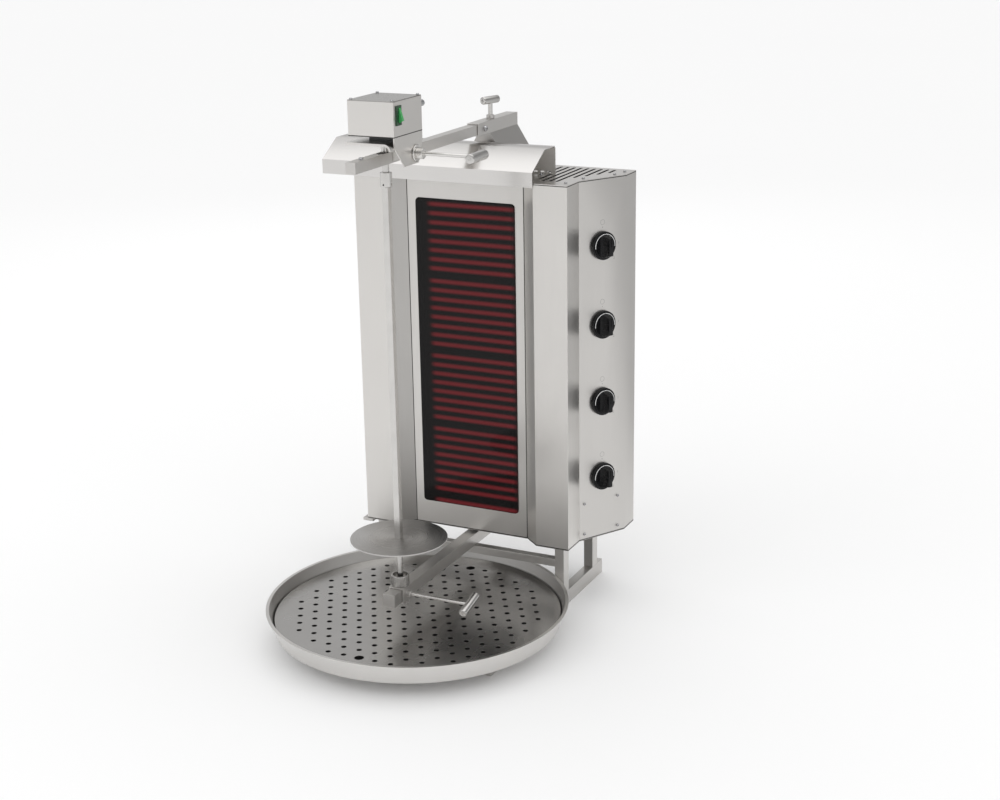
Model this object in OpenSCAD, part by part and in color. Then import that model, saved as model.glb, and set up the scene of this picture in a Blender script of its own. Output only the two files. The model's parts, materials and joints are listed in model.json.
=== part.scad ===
// Upright electric grill with a motor-driven vertical spit, millimetres, +Z up.
// Origin: on the floor, under the spit axis. The glass front faces -Y.

/* [Floor frame] */
// Width over the two floor beams
frame_width = 430; // [424:1:432]
// Width of a floor beam and of a post
beam_wide = 20; // [18:1:22]
// Height of a floor beam
beam_tall = 30; // [27:1:32]
// Wall of every tube in the frame
tube_wall = 2; // [1.5:0.5:2.5]
// Reach of the floor beams in front of the spit axis
beam_front = 48; // [40:1:60]
// Reach of the floor beams behind the rear face of the body
beam_out = 9; // [3:1:33]
// Depth of a post from front to rear
post_deep = 25; // [22:1:27]
// Front face of the front posts behind the front of the columns
post_front_in = 14.5; // [13:0.5:20]
// Gap between the rear posts and the rear face of the body
post_rear_in = 18.5; // [12:0.5:32]
// Depth of a cross beam
cross_deep = 18; // [16:1:20]
// Height of a cross beam
cross_tall = 16; // [14:1:18]
// Thickness of the flange of an end plug
plug_flange = 2; // [1:0.5:3]
// Depth of an end plug inside its tube
plug_depth = 10; // [6:1:14]
// Play of an end plug in its tube, each side
plug_fit = 0.1; // [0.05:0.05:0.2]

/* [Lower arm and bearing] */
// Width and height of the lower arm
low_arm = 25; // [24:1:26]
// Gap between the drip tray and the cross beams
cross_gap = 16.3; // [8:0.1:30]
// Reach of the lower arm in front of the spit axis
low_arm_front = 47.6; // [44:0.2:52]
// Wall of the bearing carriage
carriage_wall = 2.7; // [2:0.1:3]
// Length of the bearing carriage
carriage_long = 50; // [44:1:56]
// Part of the carriage in front of the spit axis
carriage_lead = 18.5; // [17.5:0.5:20]
// Play of a sliding sleeve on its arm, each side
slide_fit = 0.3; // [0.2:0.05:0.4]
// Diameter of the bearing cup
cup_d = 35; // [32:1:37]
// Height of the bearing cup
cup_tall = 22; // [20:1:25]
// Wall of the mouth of the bearing cup
cup_wall = 3; // [2:0.5:4]
// Depth of the open mouth of the bearing cup
cup_mouth = 10; // [8:1:12]
// Floor under the bore of the bearing cup
cup_floor = 3.5; // [3:0.5:4]
// Play of a turning shaft in its bore, on the radius
run_fit = 0.05; // [0.02:0.01:0.09]

/* [Heater body] */
// Gap between the lower arm and the body
arm_gap = 4.4; // [4:0.2:10]
// Depth of the straight rear part of a side
rear_straight = 53; // [46:1:60]
// Set-back of the front panel behind the front of the columns
panel_step = 28; // [22:1:34]
// Border of the front panel beside the glass
glass_side = 20; // [14:1:24]
// Front face of the two columns behind the spit axis
column_at = 278; // [277.4:0.2:280]
// Width of the angled wall between the front panel and a column
nose_wide = 32; // [26:1:38]
// Width of the front of a column
column_wide = 71; // [64:1:78]
// Depth of the straight outer side of a column
column_deep = 56.5; // [54:0.5:59]
// Outward reach of the sloping side panel
flare_out = 57.8; // [55:0.2:60]
// Depth of the sloping side panel
flare_deep = 99.5; // [97:0.5:102]
// Reach of the lug beside the left column
lug_out = 12; // [10:1:14]
// Depth of the lug
lug_deep = 22; // [16:1:26]
// Height of the lug
lug_tall = 6; // [4:0.5:8]
// Thickness of the folded sheet
sheet = 1.5; // [1.2:0.1:2]
// Diameter of the nut of the cable inlet in the rear panel
inlet_d = 24; // [20:1:30]
// Thickness of the nut of the cable inlet
inlet_nut = 4; // [3:0.5:6]
// Length of the cable inlet behind the panel
inlet_long = 18; // [14:1:24]
// Diameter of the thread of the cable inlet
inlet_thread = 12; // [11:0.5:16]
// Diameter of the bore of the cable inlet
inlet_bore = 7.2; // [6:0.2:8]
// Width of the rear flange of a side panel
rear_flange = 14; // [10:1:18]
// Play between a fixed part and its opening, each side
loose_fit = 0.3; // [0.2:0.05:0.4]

/* [Glass and heating zones] */
// Width of the glass
glass_wide = 217; // [190:1:240]
// Height of the glass
glass_tall = 640; // [560:1:720]
// Gap between the underside of the body and the glass
glass_low = 51.5; // [40:0.5:60]
// Gap between the glass and the top of the body
glass_high = 49; // [36:0.5:60]
// Thickness of the glass
glass_thick = 4; // [3.5:0.5:5]
// Corner radius of the glass
glass_corner = 7.5; // [6:0.5:10]
// Thickness of the gasket behind the glass
gasket_thick = 2; // [1.5:0.5:3]
// Overlap of the gasket inside and outside the edge of the glass
gasket_lap = 10; // [9:0.5:11]
// Number of heating zones
zones = 4; // [3:1:5]
// Gap between the lower edge of the glass and the lowest zone
zone_lead = 14.5; // [6:0.5:20]
// Gap between the highest zone and the upper edge of the glass
zone_trail = 1.5; // [1:0.5:10]
// Number of lines of heating ribbon in a zone
lines = 8; // [4:1:9]
// Border between the ribbon and the ends of its tray
line_border = 6.4; // [3:0.1:9]
// Border between the ribbon and the sides of its tray
line_end = 9.5; // [5:0.5:14]
// Height of the heating ribbon
ribbon_tall = 7; // [5:0.5:8]
// Thickness of the heating ribbon
ribbon_thick = 1; // [0.8:0.1:1.5]
// Gap between the glass and the heating ribbon
ribbon_gap = 13; // [11:1:16]
// Border of the trays inside the sides of the glass
dish_border = 6; // [3:1:12]
// Gap between the trays of two heating zones
dish_gap = 6; // [3:1:12]
// Thickness of the sheet of a heater tray
dish_sheet = 1; // [0.8:0.1:1.2]
// Thickness of the insulating board behind the ribbon
board_thick = 12; // [10:1:15]

/* [Covers and hood] */
// Seam between the two top covers, right of the middle
cover_split = 88; // [84:1:96]
// Width of a slot in the cover
slot_wide = 6; // [4.5:0.5:7]
// Distance from slot to slot
slot_pitch = 14.3; // [13:0.1:15]
// Gap between the first slot and the inner edge of the column
slot_lead = 23.5; // [20:0.5:27]
// Gap between the slots and the rear edge of the cover
slots_end = 15; // [8:1:24]
// Plain border between the slots and the edge of the cover
slots_border = 34.5; // [30:0.5:40]
// Length of a vent in the bottom and in the rear panel
vent_long = 56; // [40:2:64]
// Number of vents in a row
vents = 6; // [4:1:7]
// Overhang of the hood on the left of the body
hood_out = 12.7; // [4:0.1:20]
// Overhang of the hood over the inner edge of the right column
hood_in = 0.5; // [0:0.5:6]
// Gap between the lip of the hood and the front of the columns
lip_gap = 3.4; // [1.8:0.1:6]
// Drop of the lip below the top of the body
lip_drop = 7.9; // [2:0.1:14]
// Height of the lip
lip_tall = 28.8; // [20:0.1:34]
// Height of the hood above the body
hood_tall = 56.7; // [46:0.1:66]
// Depth of the slope between the lip and the flat top of the hood
hood_slope = 58.4; // [46:0.1:70]
// Depth of the hood
hood_deep = 110.4; // [96:0.1:124]
// Size of the hood's folded rear edge
hood_fold = 5; // [3:0.5:7]
// Distance from outlet to outlet
outlet_pitch = 14.3; // [13.6:0.1:14.6]
// Width of an outlet
outlet_wide = 8; // [6:0.5:9]
// Border beside the first outlet
outlet_border = 9.5; // [8:0.5:12]
// Height of an outlet
outlet_tall = 3; // [2:0.5:4]
// Height of the outlets above the cover
outlet_up = 3; // [2:0.5:8]

/* [Upper arm] */
// Width and height of the upper arm
top_arm = 20; // [19:0.5:21]
// Gap between the hood and the upper arm
arm_up = 16.8; // [6:0.1:30]
// Reach of the upper arm in front of the spit axis
top_arm_front = 123; // [115:1:130]
// Gap between the end of the upper arm and the end of its sleeve
arm_end = 24; // [10:1:40]
// Width of the slot along the arm for the drive shaft
arm_slot = 13; // [12.6:0.2:14]
// Forward travel of the motor head and the lower bearing
travel_front = 20; // [10:1:24]
// Rearward travel of the motor head and the lower bearing
travel_rear = 120; // [60:5:130]
// Wall of the rear sleeve
sleeve_wall = 2.2; // [1.8:0.1:2.6]
// Length of the collar in front of the rear sleeve
collar_long = 49; // [40:1:60]
// Gap between the hood and the rear sleeve
sleeve_gap = 13; // [6:1:20]
// Reach of the rear sleeve behind the body
sleeve_out = 42; // [30:1:54]
// Set-back of the bracket from the front of the sleeve
bracket_in = 2; // [1:1:8]
// Width of the bracket at its foot
bracket_foot = 114; // [104:1:120]
// Thickness of the bracket
bracket_wall = 2; // [1.5:0.5:3]
// Set-back of the sides of the rear column from the foot of the bracket
spine_in = 12; // [6:1:20]
// Height of the column behind the body
spine_tall = 300; // [240:10:360]

/* [Motor head] */
// Width of the motor case
case_wide = 92; // [88:1:96]
// Front of the motor case in front of the spit axis
case_front = 48; // [47:1:52]
// Rear of the motor case behind the spit axis
case_rear = 56; // [55:1:60]
// Gap between the carrying plate and the motor case
case_gap = 9.5; // [7:0.5:12]
// Height of the motor case with its lid
case_tall = 63.5; // [56:0.5:72]
// Height of the carrying plate above the upper arm
plate_up = 24; // [18:0.5:30]
// Thickness of the carrying plate
plate_thick = 4; // [3:0.5:5]
// Outer radius of the bend between the plate and the cheek
plate_bend = 13; // [9:1:15]
// Front edge of the carrying plate in front of the spit axis
plate_front = 60; // [56:1:64]
// Drop of the side cheek below the upper arm
cheek_drop = 2; // [1:0.5:6]
// Thickness of the side cheek
cheek_thick = 2; // [1.5:0.5:3]
// Straight part of the side cheek below the top of the carrying plate
cheek_flat = 8; // [5:0.5:12]
// Front end of the lower edge of the cheek in front of the spit axis
cheek_toe = 12; // [10:1:14]
// Rear end of the lower edge of the cheek behind the spit axis
cheek_heel = 40; // [39:1:43]
// Wall of the guide that rides on the upper arm
guide_wall = 3; // [2.5:0.5:4]
// Set-back of the guide from the rear of the motor case
guide_in = 6; // [3:1:14]
// Front end of the guide behind the spit axis
guide_front = 8; // [7.5:0.5:12]
// Gap between the gear motor and the lid
motor_room = 9.5; // [4:0.5:14]
// Width that the gear motor leaves free in the case
motor_side = 30; // [18:1:36]
// Gap between the switch and the gear motor
motor_gap = 1.5; // [1:0.5:8]
// Diameter of the drive shaft
shaft_d = 12; // [11:0.5:12.4]
// Width of the switch frame
switch_wide = 18; // [17:0.5:19]
// Height of the switch frame
switch_tall = 34.6; // [34.2:0.2:36]
// Middle of the switch below the top of the case
switch_drop = 26; // [20:1:34]
// Set-back of the switch from the front of the case
switch_in = 8.5; // [3:0.5:12]
// Thickness and rim of the frame of the switch
switch_rim = 2; // [1.6:0.1:2.2]
// Gap between the rocker and the ends of the switch frame
rocker_in = 3.7; // [3:0.1:5]
// Width of the rocker
rocker_wide = 6; // [5:0.2:6.2]
// Reach of the toe of the rocker out of the case
rocker_toe = 9; // [8:0.5:12]
// Diameter of the collar on the motor case where the cable of the motor enters
gland_d = 12; // [10:1:14]
// Length of that collar
gland_long = 13; // [9:1:16]

/* [Clamp handles] */
// Diameter of the rod of a side handle
rod_d = 7; // [6:0.5:8]
// Diameter of the grip of a handle
grip_d = 12; // [10:1:14]
// Length of the grip of a side handle
side_grip = 60; // [52:1:68]
// Reach of the head handle from the middle
head_reach = 168; // [160:1:176]
// Head handle behind the spit axis
clamp_at = 30; // [26:1:33]
// Head handle below the top of the upper arm
clamp_drop = 3.5; // [3.5:0.5:6]
// Turn of the grip of the head handle, degrees
head_turn = 0; // [-90:1:90]
// Diameter of the washer of the head handle
washer_d = 31; // [26:1:34]
// Thickness of the washer of the head handle
washer_thick = 3; // [2:0.5:4]
// Diameter of the hub of the head handle
hub_d = 20; // [16:1:22]
// Length of the hub of the head handle
hub_long = 13; // [10:1:16]
// Reach of the lower handle from the middle
low_reach = 147.5; // [138:0.5:156]
// Turn of the grip of the lower handle, degrees
low_turn = 14; // [-90:1:90]
// Diameter of the boss of the lower handle
boss_d = 14; // [12:1:18]
// Length of the boss of the lower handle
boss_long = 8.5; // [6:0.5:12]
// Diameter of the rod of the upright handle
stem_d = 9; // [8:0.5:10]
// Diameter of the boss of the upright handle
stem_boss_d = 16; // [14:0.5:18]
// Height of the boss of the upright handle
stem_boss_tall = 7.5; // [6:0.5:10]
// Upright handle behind the front end of the rear sleeve
stem_at = 30.5; // [20:0.5:60]
// Turn of the grip of the upright handle, degrees
top_turn = 16; // [-90:1:90]
// Length of the grip of the upright handle
top_grip = 45; // [40:1:52]
// Height of the grip of the upright handle above the upper arm
top_grip_up = 39; // [30:1:50]
// Bevel at the ends of turned pieces
bevel = 0.8; // [0.4:0.1:1.1]

/* [Spit] */
// Width of the square spit rod
rod_side = 12; // [11:0.5:13]
// Diameter of the turning disc
disc_d = 186; // [176:2:200]
// Thickness of the turning disc
disc_thick = 2.5; // [2:0.5:4]
// Height of the turning disc above the bearing cup
disc_up = 75.9; // [60:0.1:90]
// Diameter of the round foot of the spit
foot_d = 11.5; // [10:0.5:12]
// Gap under the foot of the spit
foot_gap = 3.9; // [1:0.1:8]
// Diameter of the coupling sleeve
coupling_d = 21.6; // [20:0.2:24]
// Lower end of the coupling sleeve below the upper arm
coupling_drop = 42.5; // [36:0.5:60]
// Length of the coupling sleeve
coupling_long = 27; // [25:1:30]
// Diameter of the pin through the coupling sleeve
pin_d = 4; // [3:0.5:5]

/* [Drip tray] */
// Diameter of the tray over its rim
tray_d = 595; // [585:1:596]
// Spread of the tray wall from its floor to its rim
tray_slope = 16.5; // [10:0.5:24]
// Play between the tray and the front posts
tray_fit = 1.4; // [0.5:0.1:6]
// Height of the tray
tray_tall = 40; // [36:1:44]
// Thickness of the tray
tray_sheet = 1.5; // [1.2:0.1:2]
// Width of the turned rim of the tray
tray_rim = 5; // [3:0.5:7]
// Height of the perforated plate above the floor of the tray
insert_up = 15.5; // [13:0.5:18]
// Thickness of the perforated plate
insert_thick = 1.5; // [1:0.1:2]
// Play between the perforated plate and the tray wall
insert_fit = 3; // [2:0.5:5]
// Distance between the drain holes
hole_pitch = 33.4; // [32:0.2:34.4]
// Diameter of a drain hole
hole_d = 10; // [8:0.5:12]
// Diameter of a finger hole
finger_d = 18; // [16:1:22]
// Border of the perforated plate outside its drain holes
holes_border = 35.5; // [31:0.5:50]

/* [Controls] */
// Number of knobs
knobs = 4; // [4:1:4]
// Gap between the top of the body and the middle of the highest knob
knob_high = 133; // [60:1:160]
// Middle of the lowest knob above the underside of the body
knob_up = 130.5; // [60:0.5:160]
// Diameter of the skirt of a knob
knob_skirt = 56; // [53:1:60]
// Thickness of the skirt of a knob
skirt_thick = 6; // [4:0.5:7]
// Diameter of the body of a knob
knob_d = 48; // [45:1:51]
// Height of the body of a knob above the skirt
knob_body = 2.5; // [2:0.5:5]
// Height of the grip of a knob above its body
knob_grip = 19.5; // [15:0.5:21]
// Width of the grip of a knob at its outer edge
grip_wide = 10; // [8:1:12]
// Width of the grip of a knob at its foot
grip_foot = 23; // [18:1:26]
// Front screws of the side panel behind its front edge
screw_front = 12.8; // [10:0.2:16]
// Rear screws of the side panel before its rear edge
screw_rear = 17.2; // [14:0.2:20]
// Lower screws of the side panel above the underside of the body
screw_low = 13.3; // [10:0.1:18]
// Upper screws of the side panel above the underside of the body
screw_high = 78.6; // [70:0.2:84]
// Diameter of a screw head
screw_d = 6; // [5:0.5:7]
// Diameter of the spindle of a knob
spindle_d = 6; // [5:0.5:7]
// Width of the pointer groove in the grip of a knob
groove_wide = 1.8; // [1:0.1:2.4]
// Depth of the pointer groove
groove_deep = 0.8; // [0.4:0.1:1.2]
// Diameter of the bush of a regulator in the side panel
bush_d = 11; // [10:0.5:13]
// Width and height of a regulator
regulator_wide = 40; // [34:1:44]
// Depth of a regulator
regulator_deep = 28; // [22:1:32]

/* [Hidden] */
$fn = 64;
small_fn = 24;
nut_fn = 6;
one = 1;
over = one;
beam_x = frame_width / 2;
tray_z = beam_tall + slide_fit;
cross_bottom = tray_z + tray_tall + cross_gap;
low_arm_bottom = cross_bottom + cross_tall;
low_arm_top = low_arm_bottom + low_arm;
low_arm_mid = low_arm_bottom + low_arm / 2;
carriage_half = low_arm / 2 + slide_fit + carriage_wall;
carriage_top = low_arm_mid + carriage_half;
body_bottom = low_arm_top + arm_gap;
glass_bottom = body_bottom + glass_low;
body_top = glass_bottom + glass_tall + glass_high;
panel_wide = glass_wide + 2 * glass_side;
column_in = panel_wide / 2 + nose_wide;
column_out = column_in + column_wide;
column_rear = column_at + column_deep;
side_x = column_out + flare_out;
side_y = column_rear + flare_deep;
body_rear = side_y + rear_straight;
skin_rear = body_rear - sheet;
panel_at = column_at + panel_step;
beam_rear = body_rear + beam_out;
post_front_at = column_at + post_front_in;
post_rear_at = body_rear - post_rear_in - post_deep;
low_arm_rear = post_rear_at + cross_deep;
flare_angle = atan2(flare_out, flare_deep);
flare_long = norm([flare_out, flare_deep]);
nose_slope = panel_step / nose_wide;
cover_under = body_top - sheet;
glass_rear = panel_at + sheet;
gasket_rear = glass_rear + gasket_thick;
zone_pitch = (glass_tall - zone_lead - zone_trail) / zones;
zone_low = glass_bottom + zone_lead + zone_pitch / 2;
dish_tall = zone_pitch - dish_gap;
dish_wide = glass_wide - 2 * dish_border;
line_long = dish_wide - 2 * line_end;
line_pitch = (dish_tall - ribbon_tall - 2 * line_border) / (lines - 1);
ribbon_rear = glass_rear + ribbon_gap + ribbon_thick;
dish_rear = ribbon_rear + board_thick + dish_sheet;
slot_first = column_in - slot_lead;
slots = floor((side_x - slots_border - slot_first) / slot_pitch) + 1;
slots_to = body_rear - slots_end;
lip_at = column_at - lip_gap;
lip_bottom = body_top - lip_drop;
lip_top = lip_bottom + lip_tall;
hood_top = body_top + hood_tall;
hood_ridge = lip_at + hood_slope;
hood_rear = lip_at + hood_deep;
hood_left = side_x + hood_out;
hood_right = column_in + hood_in;
outlets = floor((hood_left + hood_right - 2 * outlet_border - outlet_wide) / outlet_pitch) + 1;
top_arm_bottom = hood_top + arm_up;
top_arm_top = top_arm_bottom + top_arm;
top_arm_mid = top_arm_bottom + top_arm / 2;
sleeve_at = hood_rear + sleeve_gap;
sleeve_rear = body_rear + sleeve_out;
sleeve_half = top_arm / 2 + slide_fit + sleeve_wall;
sleeve_bottom = top_arm_mid - sleeve_half;
sleeve_top = top_arm_mid + sleeve_half;
collar_at = sleeve_at - collar_long;
bracket_at = sleeve_at + bracket_in;
top_arm_rear = sleeve_rear - arm_end;
stem_y = sleeve_at + stem_at;
top_grip_z = top_arm_top + top_grip_up;
plate_top = top_arm_top + plate_up;
plate_under = plate_top - plate_thick;
case_bottom = plate_top + case_gap;
case_top = case_bottom + case_tall;
lid_under = case_top - sheet;
cheek_bottom = top_arm_bottom - cheek_drop;
cheek_taper = plate_top - cheek_flat;
guide_half = top_arm / 2 + slide_fit + guide_wall;
guide_under = top_arm_top + slide_fit;
guide_foot = top_arm_bottom + top_arm / 5;
guide_rear = case_rear - guide_in;
clamp_z = top_arm_top - clamp_drop;
switch_at = case_front - switch_in;
switch_y = -switch_at + switch_wide / 2;
switch_z = case_top - switch_drop;
rocker_r = switch_tall / 2 - rocker_in;
rocker_y = switch_y + switch_wide / 2 - 2 * switch_rim - rocker_wide / 2;
pocket_fit = loose_fit;
pivot_x = case_wide / 2 - switch_rim;
motor_front = switch_at - switch_wide - motor_gap;
motor_wide = case_wide - motor_side;
motor_tall = lid_under - plate_top - motor_room;
gland_drop_share = 1.35;
gland_x = case_wide / 2 - gland_d / 2;
gland_z = case_top - gland_drop_share * gland_d;
foot_bottom = carriage_top + cup_floor + foot_gap;
disc_top = carriage_top + cup_tall + disc_up;
disc_foot = disc_top - rod_side;
coupling_bottom = top_arm_bottom - coupling_drop;
joint_share = 0.6;
joint_z = coupling_bottom + coupling_long * joint_share;
pin_z = coupling_bottom + coupling_long / 5;
tray_r = tray_d / 2;
tray_floor_r = tray_r - tray_slope;
tray_at = post_front_at - sqrt(pow(tray_r + tray_fit, 2) - pow(beam_x - beam_wide, 2));
insert_z = tray_z + tray_sheet + insert_up;
insert_wall_r = tray_floor_r + (tray_slope - tray_rim)
    * (insert_up + tray_sheet) / (tray_tall - tray_sheet);
insert_r = insert_wall_r - tray_sheet - insert_fit;
holes_r = insert_r - holes_border;
row_gap = hole_pitch * sqrt(3) / 2;
finger_row = floor(holes_r / row_gap);
blank_j = floor(finger_row / 2) - 1;
blank_i = blank_j - 1 / 2;
knob_low = body_bottom + knob_up;
knob_pitch = (body_top - knob_high - knob_low) / (knobs - 1);
knob_s = flare_long / 2;
head_share = 0.45;
crown_share = 0.7;
neck_share = 0.6;
recess_share = 0.56;
blade_share = 0.12;
front_screw_share = 1.4;
collar_screw_share = 1.9;
lid_edge_share = 0.8;
pivot_share = 0.8;
toe_share = 0.66;
crest_share = 0.98;
pin_share = 0.88;
draft_share = 0.97;
grip_share = 0.72;
back_turn = 102;
toe_turn = 68;
crest_turn = 80;

// Screws of a top cover: shares of the column's reach and of the body's depth
cover_screw_shares = [[0.942, 0.12], [0.99, 0.4], [1.162, 0.7], [1.19, 0.875], [0.583, 0.455]];

// Right half of the outline of the body, from the front panel round to the rear
body_half = [[panel_wide / 2, panel_at], [column_in, column_at], [column_out, column_at],
    [column_out, column_rear], [side_x, side_y], [side_x, body_rear]];

// Direction and offset helpers for folded sheets
function unit(v) = v / norm(v);
function side_of(a, b) = let (d = unit(b - a)) [-d[1], d[0]];
function inner(p, i, t) =
    let (last = len(p) - 1,
        before = i > 0 ? side_of(p[i - 1], p[i]) : side_of(p[i], p[i + 1]),
        after = i < last ? side_of(p[i], p[i + 1]) : before,
        m = before + after)
    p[i] + m * (2 * t / (m * m));

// Sheet that follows the path p and lies t to its left
module strip(p, t) {
    polygon(concat(p, [for (i = [len(p) - 1 : -1 : 0]) inner(p, i, t)]));
}

// Block between two opposite corners
module block(a, b) {
    translate(a)
        cube(b - a);
}

// Square tube along Y, closed at neither end
module tube_y(w, h, wall, y0, y1) {
    translate([0, y1, 0])
        rotate([90, 0, 0])
            linear_extrude(y1 - y0)
                difference() {
                    square([w, h], center = true);
                    square([w - 2 * wall, h - 2 * wall], center = true);
                }
}

// Rounded rectangle, drawn about the middle of its lower edge
module rounded(w, h, r) {
    translate([0, h / 2]) {
        square([w - 2 * r, h], center = true);
        square([w, h - 2 * r], center = true);
        for (x = [-1, 1], y = [-1, 1])
            translate([x * (w / 2 - r), y * (h / 2 - r)])
                circle(r);
    }
}

// Slot with round ends along Y
module slot(w, l) {
    square([w, l - w], center = true);
    for (y = [-1, 1])
        translate([0, y * (l - w) / 2])
            circle(d = w, $fn = small_fn);
}

// Plate in the XZ plane whose front face lies at y
module upright(y, t) {
    translate([0, y + t, 0])
        rotate([90, 0, 0])
            linear_extrude(t)
                children();
}

// Domed screw head with a cross recess, on the face below it
module screw(head) {
    tall = head * head_share;
    reach = head * recess_share;
    blade = head * blade_share;
    difference() {
        union() {
            cylinder(d = head, h = tall / 2, $fn = small_fn);
            translate([0, 0, tall / 2])
                cylinder(d1 = head, d2 = head * crown_share, h = tall / 2, $fn = small_fn);
        }
        for (turn = [0, 90])
            rotate([0, 0, turn])
                translate([-reach / 2, -blade / 2, tall / 2])
                    cube([reach, blade, tall]);
    }
}

// Turned bar along +Z, bevelled at both ends
module turned(d, long) {
    rotate_extrude()
        polygon([[0, 0], [d / 2 - bevel, 0], [d / 2, bevel], [d / 2, long - bevel],
            [d / 2 - bevel, long], [0, long]]);
}

module floor_beam(side) {
    color("silver")
        translate([side * (beam_x - beam_wide / 2), 0, beam_tall / 2])
            tube_y(beam_wide, beam_tall, tube_wall, -beam_front + plug_flange,
                beam_rear - plug_flange);
}

module post(side, y) {
    color("silver")
        translate([side * (beam_x - beam_wide / 2), y + post_deep / 2, beam_tall])
            linear_extrude(body_bottom - beam_tall)
                difference() {
                    square([beam_wide, post_deep], center = true);
                    square([beam_wide - 2 * tube_wall, post_deep - 2 * tube_wall],
                        center = true);
                }
}

module cross_beam(y) {
    half = beam_x - beam_wide;
    color("silver")
        translate([-half, y + cross_deep / 2, cross_bottom + cross_tall / 2])
            rotate([90, 0, 90])
                linear_extrude(2 * half)
                    difference() {
                        square([cross_deep, cross_tall], center = true);
                        square([cross_deep - 2 * tube_wall, cross_tall - 2 * tube_wall],
                            center = true);
                    }
}

// Plug whose flange lies at y = 0 and whose body points to +Y
module plug(w, h, wall) {
    iw = w - 2 * wall - 2 * plug_fit;
    ih = h - 2 * wall - 2 * plug_fit;
    translate([-w / 2, 0, -h / 2])
        cube([w, plug_flange, h]);
    translate([-iw / 2, 0, -ih / 2])
        cube([iw, plug_flange + plug_depth, ih]);
}

module end_caps() {
    color("dimgray")
        for (side = [-1, 1])
            translate([side * (beam_x - beam_wide / 2), 0, beam_tall / 2]) {
                translate([0, -beam_front, 0])
                    plug(beam_wide, beam_tall, tube_wall);
                translate([0, beam_rear, 0])
                    mirror([0, 1, 0])
                        plug(beam_wide, beam_tall, tube_wall);
            }
    color("silver") {
        translate([0, -low_arm_front, low_arm_mid])
            plug(low_arm, low_arm, tube_wall);
        translate([0, -top_arm_front, top_arm_mid])
            plug(top_arm, top_arm, tube_wall);
    }
}

module lower_arm() {
    color("silver")
        translate([0, 0, low_arm_mid])
            tube_y(low_arm, low_arm, tube_wall, -low_arm_front + plug_flange, low_arm_rear);
}

// Outline of the whole body, mirrored about the middle
module body_outline() {
    polygon(concat(body_half, [for (i = [len(body_half) - 1 : -1 : 0])
        [-body_half[i][0], body_half[i][1]]]));
}

module bottom_plate() {
    color("lightgray")
        translate([0, 0, body_bottom])
            linear_extrude(sheet)
                difference() {
                    body_outline();
                    for (side = [-1, 1], i = [0 : vents - 1])
                        translate([side * (slot_first + i * slot_pitch), side_y - vent_long])
                            slot(slot_wide, vent_long);
                }
}

module front_panel() {
    low = body_bottom + sheet;
    color("lightgray")
        difference() {
            block([-panel_wide / 2, panel_at, low], [panel_wide / 2, panel_at + sheet,
                cover_under]);
            translate([0, 0, glass_bottom - loose_fit])
                upright(panel_at - over, sheet + 2 * over)
                    rounded(glass_wide + 2 * loose_fit, glass_tall + 2 * loose_fit,
                        glass_corner + loose_fit);
        }
}

// Angled inner wall, front and outer side of one column, in one folded sheet
module wing() {
    low = body_bottom + sheet;
    color("lightgray")
        translate([0, 0, low])
            linear_extrude(cover_under - low)
                strip([for (i = [0 : 3]) body_half[i]], sheet);
}

// Sloping side panel with its straight rear part and rear flange
module side_sheet() {
    low = body_bottom + sheet;
    translate([0, 0, low])
        linear_extrude(cover_under - low)
            strip([body_half[3], body_half[4], [side_x, skin_rear],
                [side_x - rear_flange, skin_rear]], sheet);
}

// Puts its children on the sloping side panel, s along it and z up, +Z outward
module on_flare(s, z) {
    translate([column_out + s * sin(flare_angle), column_rear + s * cos(flare_angle), z])
        rotate([0, 0, -flare_angle])
            rotate([0, 90, 0])
                children();
}

module control_panel() {
    color("lightgray")
        difference() {
            side_sheet();
            for (k = [0 : knobs - 1])
                on_flare(knob_s, knob_low + k * knob_pitch)
                    translate([0, 0, -2 * sheet])
                        cylinder(d = bush_d + 2 * loose_fit, h = 4 * sheet);
        }
}

module side_panel_left() {
    color("lightgray")
        mirror([1, 0, 0])
            side_sheet();
}

module rear_panel() {
    low = body_bottom + sheet;
    color("lightgray")
        difference() {
            block([-side_x, skin_rear, low], [side_x, body_rear, cover_under]);
            for (side = [-1, 1], i = [0 : vents - 1], j = [0 : 1])
                translate([side * (slot_first + i * slot_pitch), 0,
                    knob_low + j * 2 * knob_pitch])
                    upright(skin_rear - over, sheet + 2 * over)
                        slot(slot_wide, vent_long);
            translate([-column_out, 0, body_bottom + vent_long])
                upright(skin_rear - over, sheet + 2 * over)
                    circle(d = inlet_thread + 2 * loose_fit);
        }
}

// Front end of the slot at x, a border's width behind the edge of the cover
function slot_front(x) =
    x > column_out - slots_border ?
        column_rear + (x - column_out) / tan(flare_angle) + slots_border / sin(flare_angle) :
    x < column_in ?
        column_at + (column_in - x) * nose_slope + slots_border * norm([1, nose_slope]) :
    column_at + slots_border;

// The first slot lies behind the hood, the others run on to the front border
module top_cover_right() {
    color("lightgray")
        translate([0, 0, cover_under])
            linear_extrude(sheet)
                difference() {
                    intersection() {
                        body_outline();
                        translate([cover_split, 0])
                            square([side_x, body_rear]);
                    }
                    for (i = [0 : slots - 1]) {
                        x = slot_first + i * slot_pitch;
                        y = i == 0 ? hood_rear + slot_pitch : slot_front(x);
                        translate([x, (y + slots_to) / 2])
                            slot(slot_wide, slots_to - y);
                    }
                }
}

module top_cover_left() {
    color("lightgray")
        translate([0, 0, cover_under])
            linear_extrude(sheet)
                intersection() {
                    body_outline();
                    translate([-side_x, 0])
                        square([side_x + cover_split, body_rear]);
                }
}

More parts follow.
